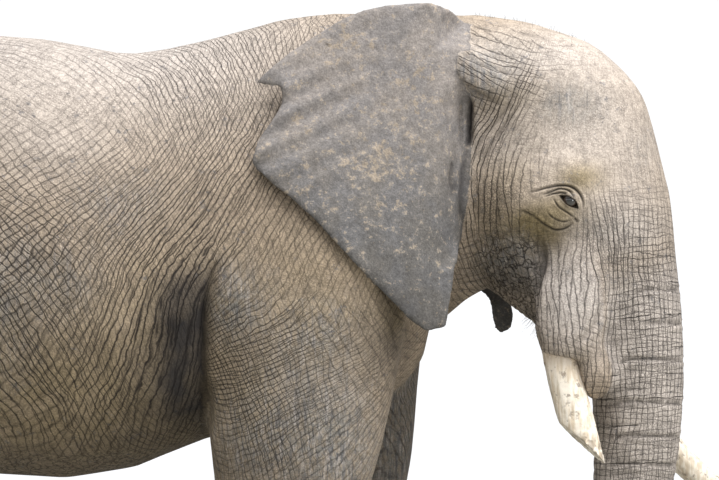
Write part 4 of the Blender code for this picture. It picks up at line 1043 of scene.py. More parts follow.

# %% [markdown]
# The hide isn't one colour. The back is bleached by pale dust and is also painted paler on top, as painted
# light, as are the head and trunk; the belly and legs wear darker mud; the armpit, the underside, under the
# jaw, the ear's slit, the far leg and the far ear are darkened as painted shade; and tears stain the hollow
# under the eye. Soft oval spots say where, in metres: `dark` for painted shade, `olive` for mud and tears,
# `grey` for rubbed bare skin and, on the far leg, for painted shade, `pale` for dry dust and painted light,
# `heavy` for deep creases.

# %% Soft spots of mud, dust and damp
BODY_SPOTS = {  # x, height, reach along, reach up, strength
    "dark": (
        (-0.37, 1.76, 0.12, 0.24, 0.8), (-0.31, 1.92, 0.05, 0.17, 0.75), (-0.5, 1.6, 0.1, 0.16, 0.45),
        (-0.6, 1.46, 0.16, 0.07, 0.45), (0.36, 1.84, 0.11, 0.15, 0.6), (-0.95, 1.38, 0.3, 0.05, 0.4),
        (-1.62, 1.5, 0.1, 0.25, 0.55), (-0.16, 1.45, 0.1, 0.11, 0.45), (0.02, 1.33, 0.07, 0.08, 0.35),
    ),
    "olive": (
        (-0.75, 1.6, 0.9, 0.32, 0.85), (0.1, 2, 0.3, 0.25, 0.45), (0.37, 1.9, 0.07, 0.07, 0.9),
        (-0.45, 2, 0.25, 0.2, 0.35),
    ),
    "grey": (
        (-1.05, 2, 0.14, 0.26, 0.6), (-0.8, 2.05, 0.13, 0.12, 0.5), (-0.18, 1.96, 0.09, 0.13, 0.8),
        (-0.08, 1.5, 0.18, 0.16, 0.7), (0.17, 1.46, 0.15, 0.22, 0.9), (0.1, 1.85, 0.14, 0.12, 0.6),
        (-0.6, 2.32, 0.16, 0.1, 0.4), (-1.9, 1, 0.5, 0.8, 0.5), (0.1, 0.6, 0.5, 0.6, 0.6),
    ),
    "pale": (
        (-0.5, 2.95, 0.6, 0.34, 0.9), (-1.3, 2.95, 0.7, 0.4, 0.9), (-0.85, 2.55, 0.22, 0.14, 0.35),
        (0.13, 1.62, 0.12, 0.14, 0.5), (-0.02, 1.74, 0.1, 0.08, 0.4),
    ),
    "heavy": (
        (-0.46, 1.9, 0.18, 0.24, 1), (-0.35, 2.08, 0.16, 0.2, 1), (-0.52, 1.66, 0.12, 0.15, 0.7),
        (-0.3, 2.28, 0.14, 0.14, 0.4), (-1.65, 1.75, 0.16, 0.2, 0.8), (-0.88, 1.75, 0.14, 0.14, 0.3),
    ),
}  # fmt: skip
HEAD_SPOTS = {
    "dark": (
        (0.93, 2.12, 0.08, 0.07, 0.28), (0.8, 2.06, 0.12, 0.06, 0.3), (0.715, 2.62, 0.016, 0.1, 0.35),
    ),
    "olive": (
        (0.95, 2.255, 0.075, 0.055, 0.85), (1, 2.22, 0.06, 0.04, 0.5), (1.13, 2.42, 0.07, 0.045, 0.4),
        (1.04, 2.3, 0.08, 0.06, 0.35), (0.8, 2.25, 0.1, 0.15, 0.35), (0.9, 2.9, 0.1, 0.05, 0.2),
    ),
    "grey": (
        (1.08, 2.69, 0.1, 0.065, 0.75), (0.78, 2.8, 0.12, 0.1, 0.75), (0.66, 2.6, 0.08, 0.25, 0.9),
        (0.86, 2.12, 0.14, 0.1, 0.8), (1.2, 2.24, 0.1, 0.06, 0.25), (1.33, 2.52, 0.04, 0.1, 0.25),
    ),
    "pale": (
        (1.15, 2.6, 0.3, 0.36, 0.65), (1.1, 1.98, 0.2, 0.22, 1), (1.3, 2.15, 0.15, 0.2, 0.9),
        (0.85, 2.55, 0.12, 0.12, 0.4), (0.95, 2.88, 0.3, 0.1, 0.7),
    ),
    "heavy": (
        (1.25, 2.15, 0.12, 0.12, 0.5), (0.82, 2.4, 0.08, 0.14, 0.4),
    ),
}  # fmt: skip
TEAR_SPOTS = (
    (0.95, 2.25, 0.075, 0.055, 0.98), (1, 2.205, 0.06, 0.05, 0.7), (1.13, 2.42, 0.08, 0.055, 0.7),
    (1.05, 2.29, 0.09, 0.06, 0.7), (0.84, 2.2, 0.08, 0.1, 0.4), (0.88, 2.42, 0.1, 0.08, 0.25),
    (0.86, 2.72, 0.1, 0.05, 0.25),
)  # fmt: skip
EAR_PATCHES = (
    (0.19, 2.9, 0.1, 0.09, 0.9), (0.31, 2.47, 0.13, 0.08, 1), (0.08, 2.6, 0.06, 0.05, 0.6),
    (0.46, 2.8, 0.1, 0.12, 0.6), (0.05, 2.45, 0.1, 0.1, 0.4), (0.4, 2.62, 0.14, 0.12, 0.5),
    (0.35, 2.3, 0.12, 0.08, 0.4),
)  # fmt: skip
FACE_NET = ((0.83, 2.30, 0.10, 0.20, 1.0), (1.25, 2.15, 0.15, 0.12, 0.8))
BODY_NET = ((-0.70, 2.03, 0.12, 0.13, 1.0),)


def spotted(x, z, spots):
    """0 to 1: soft oval spots laid over one another."""
    clear = np.ones(len(x))
    for at_x, at_z, wide, tall, strength in spots:
        clear *= 1 - strength * np.exp(-(((x - at_x) / wide) ** 2) - ((z - at_z) / tall) ** 2)
    return 1 - clear


def at_least(kind, share):
    """Raises one tone wherever it is less than this."""
    tone[kind] = np.maximum(tone[kind], share)


tone = {}
for kind in BODY_SPOTS:
    on_body = spotted(shape[:, 0], shape[:, 2], BODY_SPOTS[kind])
    on_head = spotted(level[:, 0], level[:, 2], HEAD_SPOTS[kind])
    tone[kind] = on_body + (on_head - on_body) * head
# Painted shade: the far legs are painted darker and greyer.
far_leg = fade(shape[:, 1], 0.0, 0.10) * leg
at_least("dark", 0.40 * far_leg)
at_least("grey", 0.75 * far_leg)
# Painted shade: skin that faces the ground is painted darker.
at_least("dark", 0.45 * body * (1 - leg) * fade(facing[:, 2], -0.55, -0.95))
# Painted light: the trunk and the tops of the ears are painted paler.
at_least("pale", 0.85 * trunk)
at_least("pale", ear * fade(shape[:, 2], 2.15, 2.85))
comb.append(tone["heavy"])
face_net = 0.10 + 0.25 * spotted(level[:, 0], level[:, 2], FACE_NET)
body_net = 0.28 * spotted(shape[:, 0], shape[:, 2], BODY_NET) * body
comb.append(np.maximum(0.14 * body + 0.22 * trunk + head * face_net, body_net))
loose = np.maximum(jaw, 0.8 * fade(facing[:, 2], -0.80, -0.97) * body * (1 - leg))
ear_patch = spotted(shape[:, 0], shape[:, 2], EAR_PATCHES)
tears = head * spotted(level[:, 0], level[:, 2], TEAR_SPOTS)
# Painted shade: the armpit behind the elbow's cleft is painted near black, and none is painted on the upper
# arm before it.
armpit = behind * fade(shape[:, 0], edge_x - 0.24, edge_x - 0.11) * fade(shape[:, 2], 1.42, 1.60)
at_least("dark", 0.93 * body * armpit * fade(shape[:, 2], 2.15, 2.00))
upper_arm = fade(shape[:, 2], 1.35, 1.50) * fade(shape[:, 0], 0.15, 0.0)
tone["dark"] *= 1 - body * (1 - behind) * upper_arm
# Painted shade: the far ear is painted darker.
at_least("dark", 0.55 * ear * (shape[:, 1] > 0))
print("spots laid:", sum(len(spots) for spots in (*BODY_SPOTS.values(), *HEAD_SPOTS.values())))

# %% [markdown]
# All of this is kept on the skin's points as named attributes, which the material reads.

# %% What the skin carries


def store(piece, name, kind, values):
    """Keeps one value for each point of a piece under a name."""
    made = piece.data.attributes.new(name, kind, "POINT")
    values = np.ascontiguousarray(np.column_stack(values), np.float32)
    field = {"FLOAT": "value", "FLOAT_VECTOR": "vector", "FLOAT_COLOR": "color"}[kind]
    made.data.foreach_set(field, values.ravel())


lower_leg = leg * fade(shape[:, 2], 1.45, 1.15)
store(skin, "flow", "FLOAT_VECTOR", flow)
store(skin, "limb", "FLOAT_VECTOR", limb.T)
store(skin, "face", "FLOAT_VECTOR", face)
store(skin, "parts", "FLOAT_COLOR", (face_share, ear, np.maximum(lower_leg, trunk_low), trunk))
store(skin, "marks", "FLOAT_COLOR", (fold, loose, ear_patch, tears))
store(skin, "comb", "FLOAT_COLOR", comb)
store(skin, "tone", "FLOAT_COLOR", [tone[kind] for kind in ("dark", "olive", "grey", "pale")])
shade_smooth(skin)
print("stored the lie of", len(shape), "points")

# %% [markdown]
# Colours are picked as sRGB hex values, as a painter would read them off a chart, and turned to linear
# light. One helper adds a node, sets it and links it; a node given as an input stands for its first
# output. The rest are short names for the steps that every material takes.

# %% Node and colour helpers


def linear(code):
    """An sRGB hex colour as linear light."""
    parts = [int(code[i : i + 2], 16) / 255 for i in (1, 3, 5)]
    return tuple(c / 12.92 if c <= 0.04045 else ((c + 0.055) / 1.055) ** 2.4 for c in parts) + (1.0,)


def add(tree, kind, inputs=None, **settings):
    """Adds a node, sets it and links or fills its inputs."""
    made = tree.nodes.new(kind)
    for key, value in settings.items():
        setattr(made, key, value)
    for key, value in (inputs or {}).items():
        if isinstance(value, bpy.types.Node):
            value = value.outputs[0]
        if isinstance(value, bpy.types.NodeSocket):
            tree.links.new(value, made.inputs[key])
        else:
            made.inputs[key].default_value = value
    return made


def surface_of(name, roughness):
    """A new material with its shader, and the tree that the rest goes in."""
    material = bpy.data.materials.new(name)
    material.use_nodes = True
    shader = material.node_tree.nodes["Principled BSDF"]
    shader.inputs["Roughness"].default_value = roughness
    return material, material.node_tree, shader


def math_of(tree, operation, *values):
    """One step of arithmetic."""
    return add(tree, "ShaderNodeMath", dict(enumerate(values)), operation=operation)


def times(tree, one, other):
    """Two values multiplied."""
    return math_of(tree, "MULTIPLY", one, other)


def stretched(tree, vector, amounts):
    """A vector multiplied part by part."""
    return add(tree, "ShaderNodeVectorMath", {0: vector, 1: amounts}, operation="MULTIPLY")


def noise_of(tree, vector, scale, detail, roughness=0.5):
    """Cloudy noise; its first output is grey and its second is coloured."""
    settings = {"Vector": vector, "Scale": scale, "Detail": detail, "Roughness": roughness}
    return add(tree, "ShaderNodeTexNoise", settings)


def channels(tree, source):
    """The red, green and blue of a node's colour, as three values."""
    return add(tree, "ShaderNodeSeparateColor", {0: source.outputs["Color"]}).outputs


def carried(tree, name):
    """Reads an attribute that the piece carries."""
    return add(tree, "ShaderNodeAttribute", attribute_name=name)


def object_place(tree):
    """Where a spot of the surface lies, in metres."""
    return add(tree, "ShaderNodeTexCoord").outputs["Object"]


def ramped(tree, value, start, end, low=0.0, high=1.0):
    """A value taken from one range to another, with soft shoulders."""
    ranges = {"Value": value, "From Min": start, "From Max": end, "To Min": low, "To Max": high}
    return add(tree, "ShaderNodeMapRange", ranges, interpolation_type="SMOOTHSTEP")


def tinted(tree, share, under, over):
    """One colour laid over another by a share."""
    return add(tree, "ShaderNodeMix", {0: share, 6: under, 7: over}, data_type="RGBA").outputs[2]


def colour_ramp(tree, value, stops):
    """Colours along a value, from (place, colour) stops in order."""
    made = add(tree, "ShaderNodeValToRGB", {0: value})
    ramp = made.color_ramp
    for element, stop in zip(ramp.elements, (stops[0], stops[-1])):
        element.position, element.color = stop
    for at, colour in stops[1:-1]:
        ramp.elements.new(at).color = colour
    return made.outputs[0]


def dressed(tree, shader, colour, relief=None):
    """Links a surface's colour, and its relief in metres as bump."""
    tree.links.new(colour, shader.inputs["Base Color"])
    if relief is not None:
        bump = add(tree, "ShaderNodeBump", {"Height": relief, "Distance": 1.0, "Strength": 1.0})
        tree.links.new(bump.outputs[0], shader.inputs["Normal"])


# %% [markdown]
# Elephant hide is thick grey skin under a coat of dried dust and mud, so it is quite matt. It cracks
# into a net: long creases that follow the lie, shorter ones that cross them, and a fine pebbled grain
# in each cell. Creases are made as lines at real spacings, from a one-way Voronoi pattern, whose lines
# come at uneven distances. Two such patterns that lean apart a little take turns, so that creases fork
# and join, and noise bends them all.

# %% Crease helpers
CREASE_DEPTH = 0.0036  # metres, a main crease
FORK_SHIFT = 31.7  # sets the second family clear of the first


def spread(tree, vector, scale, detail=2.0):
    """Noise colour, centred on zero, to bend another pattern with."""
    both = {0: noise_of(tree, vector, scale, detail).outputs["Color"], 1: (0.5, 0.5, 0.5)}
    return add(tree, "ShaderNodeVectorMath", both, operation="SUBTRACT")


def bent(tree, vector, bend, amounts):
    """A vector pushed about by such a bend."""
    return add(tree, "ShaderNodeVectorMath", {0: bend, 1: amounts, 2: vector}, operation="MULTIPLY_ADD")


def clear_of(tree, distance, width, strength):
    """1 away from a line and less towards it, by its strength."""
    held = times(tree, ramped(tree, distance, 0.0, width, 1.0, 0.0), strength)
    return math_of(tree, "SUBTRACT", 1.0, held)


def crease_lines(tree, run, width, strength):
    """1 on smooth skin and less in each of a family of creases, one about every whole number of `run`."""
    lines = add(
        tree, "ShaderNodeTexVoronoi", {"W": run, "Scale": 1.0, "Randomness": 0.85},
        voronoi_dimensions="1D", feature="DISTANCE_TO_EDGE",
    )  # fmt: skip
    return clear_of(tree, lines.outputs["Distance"], width, strength)


def forking_creases(tree, run, across, width, strength, turns):
    """Two alike families that lean apart a little and take turns, so that creases fork and join."""
    first = times(tree, ramped(tree, turns, 0.32, 0.54), strength)
    second = times(tree, ramped(tree, turns, 0.64, 0.42), strength)
    lean_one = math_of(tree, "MULTIPLY_ADD", across, 0.07, run)
    lean_two = math_of(tree, "MULTIPLY_ADD", across, -0.10, run)
    one = crease_lines(tree, lean_one, width, first)
    two = crease_lines(tree, math_of(tree, "ADD", lean_two, FORK_SHIFT), width, second)
    return times(tree, one, two)


def crease_net(tree, vector, scale, width, strength):
    """1 on smooth skin and less along the edges of cells, `scale` of them to a metre."""
    cells = add(
        tree, "ShaderNodeTexVoronoi", {"Vector": vector, "Scale": scale, "Randomness": 0.9},
        voronoi_dimensions="3D", feature="DISTANCE_TO_EDGE",
    )  # fmt: skip
    return clear_of(tree, cells.outputs["Distance"], width, strength)


# %% [markdown]
# Each region gets its own pattern. The body and head read the counts that were combed in, the trunk and
# lower legs read how far round and down a point lies, and the jaw and belly get a loose net with no lie
# at all. The patterns are then mixed by the shares that the skin carries, and one height drives both
# the bump and the colour.

# %% Hide pattern
UPRIGHT_SPACING, LIMB_RING_SPACING = 0.021, 0.016  # metres; coarser than life, so that they show
NET_SCALE, LOOSE_SCALE = 105.0, 30.0  # cells to a metre
PEBBLE_SCALE, LUMP_SCALE = 165.0, 58.0
PEBBLE_HEIGHT, LUMP_HEIGHT = 0.0014, 0.0030
hide, tree, shader = surface_of("dusty_elephant_hide", 0.86)
shader.inputs["Specular IOR Level"].default_value = 0.22
place = object_place(tree)
flow_in, limb_in, face_in = (carried(tree, name).outputs["Vector"] for name in ("flow", "limb", "face"))
parts_in, marks_in, comb_in, tone_in = (carried(tree, name) for name in ("parts", "marks", "comb", "tone"))
on_head, on_ear, on_limb = channels(tree, parts_in)
in_fold, in_loose, ear_patch = channels(tree, marks_in)
hold_a, hold_b, hold_heavy = channels(tree, comb_in)
hold_net = comb_in.outputs["Alpha"]
is_painted_shade, is_olive, is_grey = channels(tree, tone_in)
is_pale_dust_and_light, is_tear = tone_in.outputs["Alpha"], marks_in.outputs["Alpha"]

wide_bend = spread(tree, place, 5.0)
fine_bend = spread(tree, place, 30.0)
pebble_bend = spread(tree, place, 85.0, 1.0)
patches = noise_of(tree, place, 9.0, 3.0)
patch_one, patch_two, patch_three = channels(tree, patches)


def bent_counts(tree, counts, wide, fine, pebble):
    """Combed counts, bent by noise of three sizes, split into their two runs."""
    for bend, amount in ((wide_bend, wide), (fine_bend, fine), (pebble_bend, pebble)):
        counts = bent(tree, counts, bend, (amount, amount, 0))
    return add(tree, "ShaderNodeSeparateXYZ", {0: counts}).outputs


def turns_of(tree, counts, stretch):
    """Noise drawn out along a family, for where its creases come and go."""
    return noise_of(tree, stretched(tree, counts, stretch), 1.0, 1.0).outputs[0]


# body: two combed families, the heavy creases, and a small net between them
run_a, run_b, _ = bent_counts(tree, flow_in, 1.8, 0.55, 0.20)
turns_a = turns_of(tree, flow_in, (0.45, 0.05, 1.0))
turns_b = turns_of(tree, flow_in, (0.05, 0.45, 1.0))
body_up = forking_creases(tree, run_a, run_b, 0.165, hold_a, turns_a)
body_over = forking_creases(tree, run_b, run_a, 0.140, hold_b, turns_b)
heavy_run = times(tree, run_a, 0.50)
heavy_here = times(tree, ramped(tree, turns_b, 0.62, 0.40), hold_heavy)
body_heavy = crease_lines(tree, heavy_run, 0.150, heavy_here)
net_here = times(tree, ramped(tree, patch_two, 0.35, 0.62, 0.4, 1.6), hold_net)
net_bent = bent(tree, place, fine_bend, (0.020,) * 3)
fine_net = crease_net(tree, net_bent, NET_SCALE, 0.16, net_here)
body_height = times(tree, times(tree, body_up, body_over), body_heavy)

# trunk and lower legs: rings and upright creases that make small squares
limb_size = stretched(tree, limb_in, (1 / UPRIGHT_SPACING, 1 / LIMB_RING_SPACING, 1.0))
limb_bent = bent_counts(tree, limb_size, 1.6, 0.7, 0.25)
upright_turns = turns_of(tree, limb_size, (0.40, 0.06, 1.0))
ring_turns = turns_of(tree, limb_size, (0.06, 0.45, 1.0))
upright_hold = ramped(tree, patch_one, 0.34, 0.66, 0.10, 0.80)
ring_hold = ramped(tree, patch_three, 0.36, 0.64, 0.12, 0.80)
limb_upright = forking_creases(tree, limb_bent[0], limb_bent[1], 0.115, upright_hold, upright_turns)
limb_rings = forking_creases(tree, limb_bent[1], limb_bent[0], 0.120, ring_hold, ring_turns)
ring_heavy = crease_lines(tree, times(tree, limb_bent[1], 0.22), 0.045, ramped(tree, ring_turns, 0.58, 0.44))
limb_height = times(tree, times(tree, limb_upright, limb_rings), ring_heavy)

# head: its own two combed families
on_trunk_root = times(tree, parts_in.outputs["Alpha"], ramped(tree, patch_one, 0.40, 0.56))
hang_run, cross_run, _ = bent_counts(tree, face_in, 1.2, 0.50, 0.20)
hang_turns = turns_of(tree, face_in, (0.50, 0.06, 1.0))
cross_turns = turns_of(tree, face_in, (0.07, 0.50, 1.0))
face_hang = forking_creases(tree, hang_run, cross_run, 0.150, hold_a, hang_turns)
face_cross = forking_creases(tree, cross_run, hang_run, 0.120, hold_b, cross_turns)
face_heavy = crease_lines(tree, times(tree, hang_run, 0.45), 0.09, times(tree, hold_heavy, 0.8))
face_rings = crease_lines(tree, times(tree, cross_run, 0.22), 0.030, times(tree, on_trunk_root, 0.95))
face_height = times(tree, times(tree, face_hang, face_cross), face_heavy)
face_height = times(tree, face_height, face_rings)

# the loose net of the jaw and belly
loose_bend = bent(tree, place, wide_bend, (0.15,) * 3)
loose_bend = bent(tree, loose_bend, fine_bend, (0.060,) * 3)
loose_net = crease_net(tree, loose_bend, LOOSE_SCALE, 0.12, 0.85)
loose_net = times(tree, loose_net, face_hang)

height = body_height
for share, other in ((on_limb, limb_height), (on_head, face_height), (in_loose, loose_net)):
    height = add(tree, "ShaderNodeMix", {0: share, 2: height, 3: other})
height = times(tree, height, fine_net)
ear_height = math_of(tree, "MULTIPLY_ADD", fine_net, 0.5, 0.5)
height = add(tree, "ShaderNodeMix", {0: on_ear, 2: height, 3: ear_height})

# pebbled grain: real pebbles are 1 to 3 mm, drawn at 6 mm so that they show
grain = noise_of(tree, place, PEBBLE_SCALE, 3.0, 0.6)
lumps = noise_of(tree, place, LUMP_SCALE, 2.0)
relief = times(tree, height, CREASE_DEPTH)
relief = math_of(tree, "MULTIPLY_ADD", grain.outputs[0], PEBBLE_HEIGHT, relief)
relief = math_of(tree, "MULTIPLY_ADD", lumps.outputs[0], LUMP_HEIGHT, relief)
print("hide pattern:", len(tree.nodes), "nodes so far")

# %% [markdown]
# The colour is pale dust over grey skin, made paler still on the back, head and trunk as painted light.
# The dust lies thick on the flat of each cell and is missing from the creases, where dark skin and damp
# soil show, and the creases are darkened further as painted shade. Mud runs down the shoulder and legs in
# upright streaks. In broad patches the dust has been rubbed off and the skin is blue-grey, as on the ears,
# which fan all day; the ears are painted lighter towards the top and darker below, as painted light and
# shade. Painted shade darkens the armpit, the underside, the far leg and the far ear.

# %% Hide colour
# The pale colour is both dust and painted light, the two ear colours are a shaded and a lit copy, the
# near-black one is painted shade, and the crease colour is bare skin, soil and painted shade.
DUST_TAN, PALE_DUST_AND_LIGHT = linear("#9F8F7D"), linear("#BCB3AC")
MUD_OLIVE, BARE_GREY = linear("#908064"), linear("#8A8885")
PAINTED_SHADE_DARK, CREASE_SOIL_AND_SHADE = linear("#26262A"), linear("#1E1A19")
EAR_SHADED, EAR_LIT, EAR_DUST = linear("#605D5A"), linear("#87807B"), linear("#978A7A")
SMUDGE, TEAR_OLIVE = linear("#65666B"), linear("#80714F")

speckle = noise_of(tree, place, 34.0, 6.0, 0.72)
speckle_one, speckle_two, speckle_three = channels(tree, speckle)
drips = noise_of(tree, stretched(tree, place, (95.0, 60.0, 8.0)), 1.0, 2.0)
drip_one, drip_two, _ = channels(tree, drips)

# Paler where the pale tone is: dust, and painted light on the back, head and trunk.
colour = tinted(tree, is_pale_dust_and_light, DUST_TAN, PALE_DUST_AND_LIGHT)
olive_here = times(tree, is_olive, ramped(tree, patch_one, 0.30, 0.62, 0.65, 1.0))
colour = tinted(tree, olive_here, colour, MUD_OLIVE)
colour = tinted(tree, times(tree, is_tear, 0.95), colour, TEAR_OLIVE)
grey_here = times(tree, is_grey, ramped(tree, speckle_one, 0.40, 0.58, 0.35, 1.0))
colour = tinted(tree, grey_here, colour, BARE_GREY)
smudge_patch = ramped(tree, patch_three, 0.46, 0.60)
smudge_here = times(tree, ramped(tree, speckle_two, 0.56, 0.64), smudge_patch)
colour = tinted(tree, times(tree, smudge_here, 0.60), colour, SMUDGE)
streak_dark = times(tree, ramped(tree, drip_one, 0.52, 0.62, 0.0, 0.75), is_grey)
colour = tinted(tree, streak_dark, colour, SMUDGE)
streak_light = times(tree, ramped(tree, drip_two, 0.58, 0.66, 0.0, 0.75), is_grey)
colour = tinted(tree, streak_light, colour, PALE_DUST_AND_LIGHT)

dust_fleck = times(tree, ramped(tree, speckle_three, 0.57, 0.66), 0.75)
dust_patch = ramped(tree, math_of(tree, "MULTIPLY_ADD", ear_patch, 0.13, speckle_one), 0.59, 0.68)
dust_patch = times(tree, dust_patch, 0.8)
# Painted light and shade: the ear is lighter towards its top and darker low down.
ear_colour = tinted(tree, is_pale_dust_and_light, EAR_SHADED, EAR_LIT)
ear_colour = tinted(tree, ramped(tree, patch_two, 0.35, 0.65, 0.0, 0.35), ear_colour, SMUDGE)
ear_colour = tinted(tree, math_of(tree, "MAXIMUM", dust_fleck, dust_patch), ear_colour, EAR_DUST)
ear_edge = math_of(tree, "ADD", on_ear, math_of(tree, "MULTIPLY_ADD", speckle_two, 0.8, -0.4))
colour = tinted(tree, ramped(tree, ear_edge, 0.3, 0.7), colour, ear_colour)

mottle = ramped(tree, speckle_three, 0.32, 0.66, 0.78, 1.17)
flecks = ramped(tree, grain.outputs[0], 0.32, 0.68, 0.80, 1.17)
colour = stretched(tree, stretched(tree, colour, mottle), flecks)
# Painted shade: near black where the dark tone is.
painted_shade_here = times(tree, is_painted_shade, ramped(tree, patch_two, 0.36, 0.62, 1.0, 0.80))
colour = tinted(tree, painted_shade_here, colour, PAINTED_SHADE_DARK)
# Creases painted dark: bare skin and soil, and painted shade.
sunk = math_of(tree, "POWER", math_of(tree, "SUBTRACT", 1.0, height), 0.78)
sunk = times(tree, sunk, 0.98)
deep = math_of(tree, "MINIMUM", times(tree, in_fold, 0.75), 0.92)
colour = tinted(tree, math_of(tree, "MAXIMUM", sunk, deep), colour, CREASE_SOIL_AND_SHADE)
dressed(tree, shader, colour, relief)
skin.data.materials.append(hide)
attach(skin, "root")
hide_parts(*FLESH)
print("hide has", len(tree.nodes), "nodes")

# %% [markdown]
# The tusks are ivory, a tooth that wears and stains: cream where the animal rubs it, brown at the lip,
# and lined with fine cracks along its length. The solids give their sweep. A copy of each is rebuilt
# finely and smoothed, and the right one's broken end is left ragged.

# %% Tusks
TUSK_VOXEL, TUSK_ROUNDS, TUSK_SWELL = 0.0038, 9, 0.0008
CHIP_DEPTH = 0.0045
STREAK_HEIGHT, BLOT_DEPTH = 0.0012, 0.0016


def rebuilt(node, name, voxel, rounds):
    """A smooth fine copy of a CAD node."""
    piece = merged_copy(node, name)
    modify(piece, "REMESH", mode="VOXEL", voxel_size=voxel, adaptivity=0.0)
    modify(piece, "SMOOTH", factor=0.5, iterations=rounds)
    return piece


tusks = []
for node in ("tusk_right", "tusk_left"):
    tusk = rebuilt(node, f"{node}_ivory", TUSK_VOXEL, TUSK_ROUNDS)
    modify(tusk, "DISPLACE", strength=TUSK_SWELL, mid_level=0.0)
    shape = points_of(tusk)
    facing = normals_of(tusk)
    shape += facing * (0.0011 * wander(shape, 0.030, 40) + 0.0006 * wander(shape, 0.010, 41))[:, None]
    broken = fade(shape[:, 2], 1.58, 1.48) if node == "tusk_right" else np.zeros(len(shape))
    chips = np.abs(wander(shape, 0.034, 42)) + 0.5 * np.abs(wander(shape, 0.014, 43))
    shape -= facing * (CHIP_DEPTH * chips * broken)[:, None]
    set_points(tusk, shape)
    at_root = fade(shape[:, 2], 1.66, 1.84)
    is_left = np.full(len(shape), node == "tusk_left")
    store(tusk, "root_and_chips", "FLOAT_COLOR", (at_root, broken * np.clip(chips, 0, 1), is_left, broken))
    shade_smooth(tusk)
    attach(tusk, "root")
    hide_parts(node)
    tusks.append(tusk)
    print(tusk.name, len(tusk.data.polygons), "faces")

ivory, tree, shader = surface_of("stained_ivory", 0.45)
shader.inputs["IOR"].default_value = 1.54
place = object_place(tree)
at_root, is_chipped, is_left = channels(tree, carried(tree, "root_and_chips"))
along_tusk = {"Vector": place, "Rotation": (0, math.radians(24), 0), "Scale": (1, 1, 0.14)}
grainy = add(tree, "ShaderNodeMapping", along_tusk)
streaks = noise_of(tree, grainy, 80.0, 5.0)
blots = noise_of(tree, place, 34.0, 5.0, 0.68)
colour = tinted(tree, ramped(tree, streaks.outputs[0], 0.36, 0.62), linear("#CFBFA8"), linear("#EDE4D6"))
colour = tinted(tree, ramped(tree, blots.outputs[0], 0.55, 0.66, 0.0, 0.85), colour, linear("#8E8274"))
root_stain = times(tree, at_root, ramped(tree, streaks.outputs[0], 0.35, 0.60, 0.45, 0.95))
root_stain = times(tree, root_stain, math_of(tree, "MULTIPLY_ADD", is_left, 0.6, 0.35))
colour = tinted(tree, root_stain, colour, linear("#A5713F"))
colour = tinted(tree, ramped(tree, is_chipped, 0.25, 0.75, 0.0, 0.7), colour, linear("#857663"))
relief = times(tree, streaks.outputs[0], STREAK_HEIGHT)
dressed(tree, shader, colour, math_of(tree, "MULTIPLY_ADD", blots.outputs[0], -BLOT_DEPTH, relief))
for tusk in tusks:
    tusk.data.materials.append(ivory)

# %% [markdown]
# A toenail is a domed plate of horn on the front of the foot, ridged across as it grows and blotched with
# pale dust.

# %% Toenails
NAIL_VOXEL, NAIL_ROUNDS, NAIL_SWELL = 0.0045, 5, 0.0035
NAIL_LOWEST = 0.001  # keeps the horn off the ground
RIDGE_HEIGHT = 0.0018
horn, tree, shader = surface_of("dusty_toenail_horn", 0.62)
place = object_place(tree)
growth = add(tree, "ShaderNodeMapping", {"Vector": place, "Scale": (12, 12, 240)})
ridges = noise_of(tree, growth, 1.0, 3.0)
blots = noise_of(tree, place, 45.0, 4.0)
colour = tinted(tree, ramped(tree, blots.outputs[0], 0.38, 0.62), linear("#8F7F6C"), linear("#C4B49C"))
dressed(tree, shader, colour, times(tree, ridges, RIDGE_HEIGHT))
for node in NAILS:
    nail = rebuilt(node, f"{node}_horn", NAIL_VOXEL, NAIL_ROUNDS)
    modify(nail, "DISPLACE", strength=NAIL_SWELL, mid_level=0.0)
    shape = points_of(nail)
    shape[:, 2] = np.maximum(shape[:, 2], NAIL_LOWEST)
    set_points(nail, shape)
    shade_smooth(nail)
    nail.data.materials.append(horn)
    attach(nail, "root")
    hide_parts(node)
print("toenails:", len(NAILS))

# %% [markdown]
# An elephant's eye is small and dark brown, with a wet clear cornea that bulges a little and catches
# one bright light. The ball is a sphere; its front is pushed out as the cornea, and the iris is a ring
# of darker and lighter brown about a near-black pupil, coloured by how far each spot lies from the
# ball's own axis.

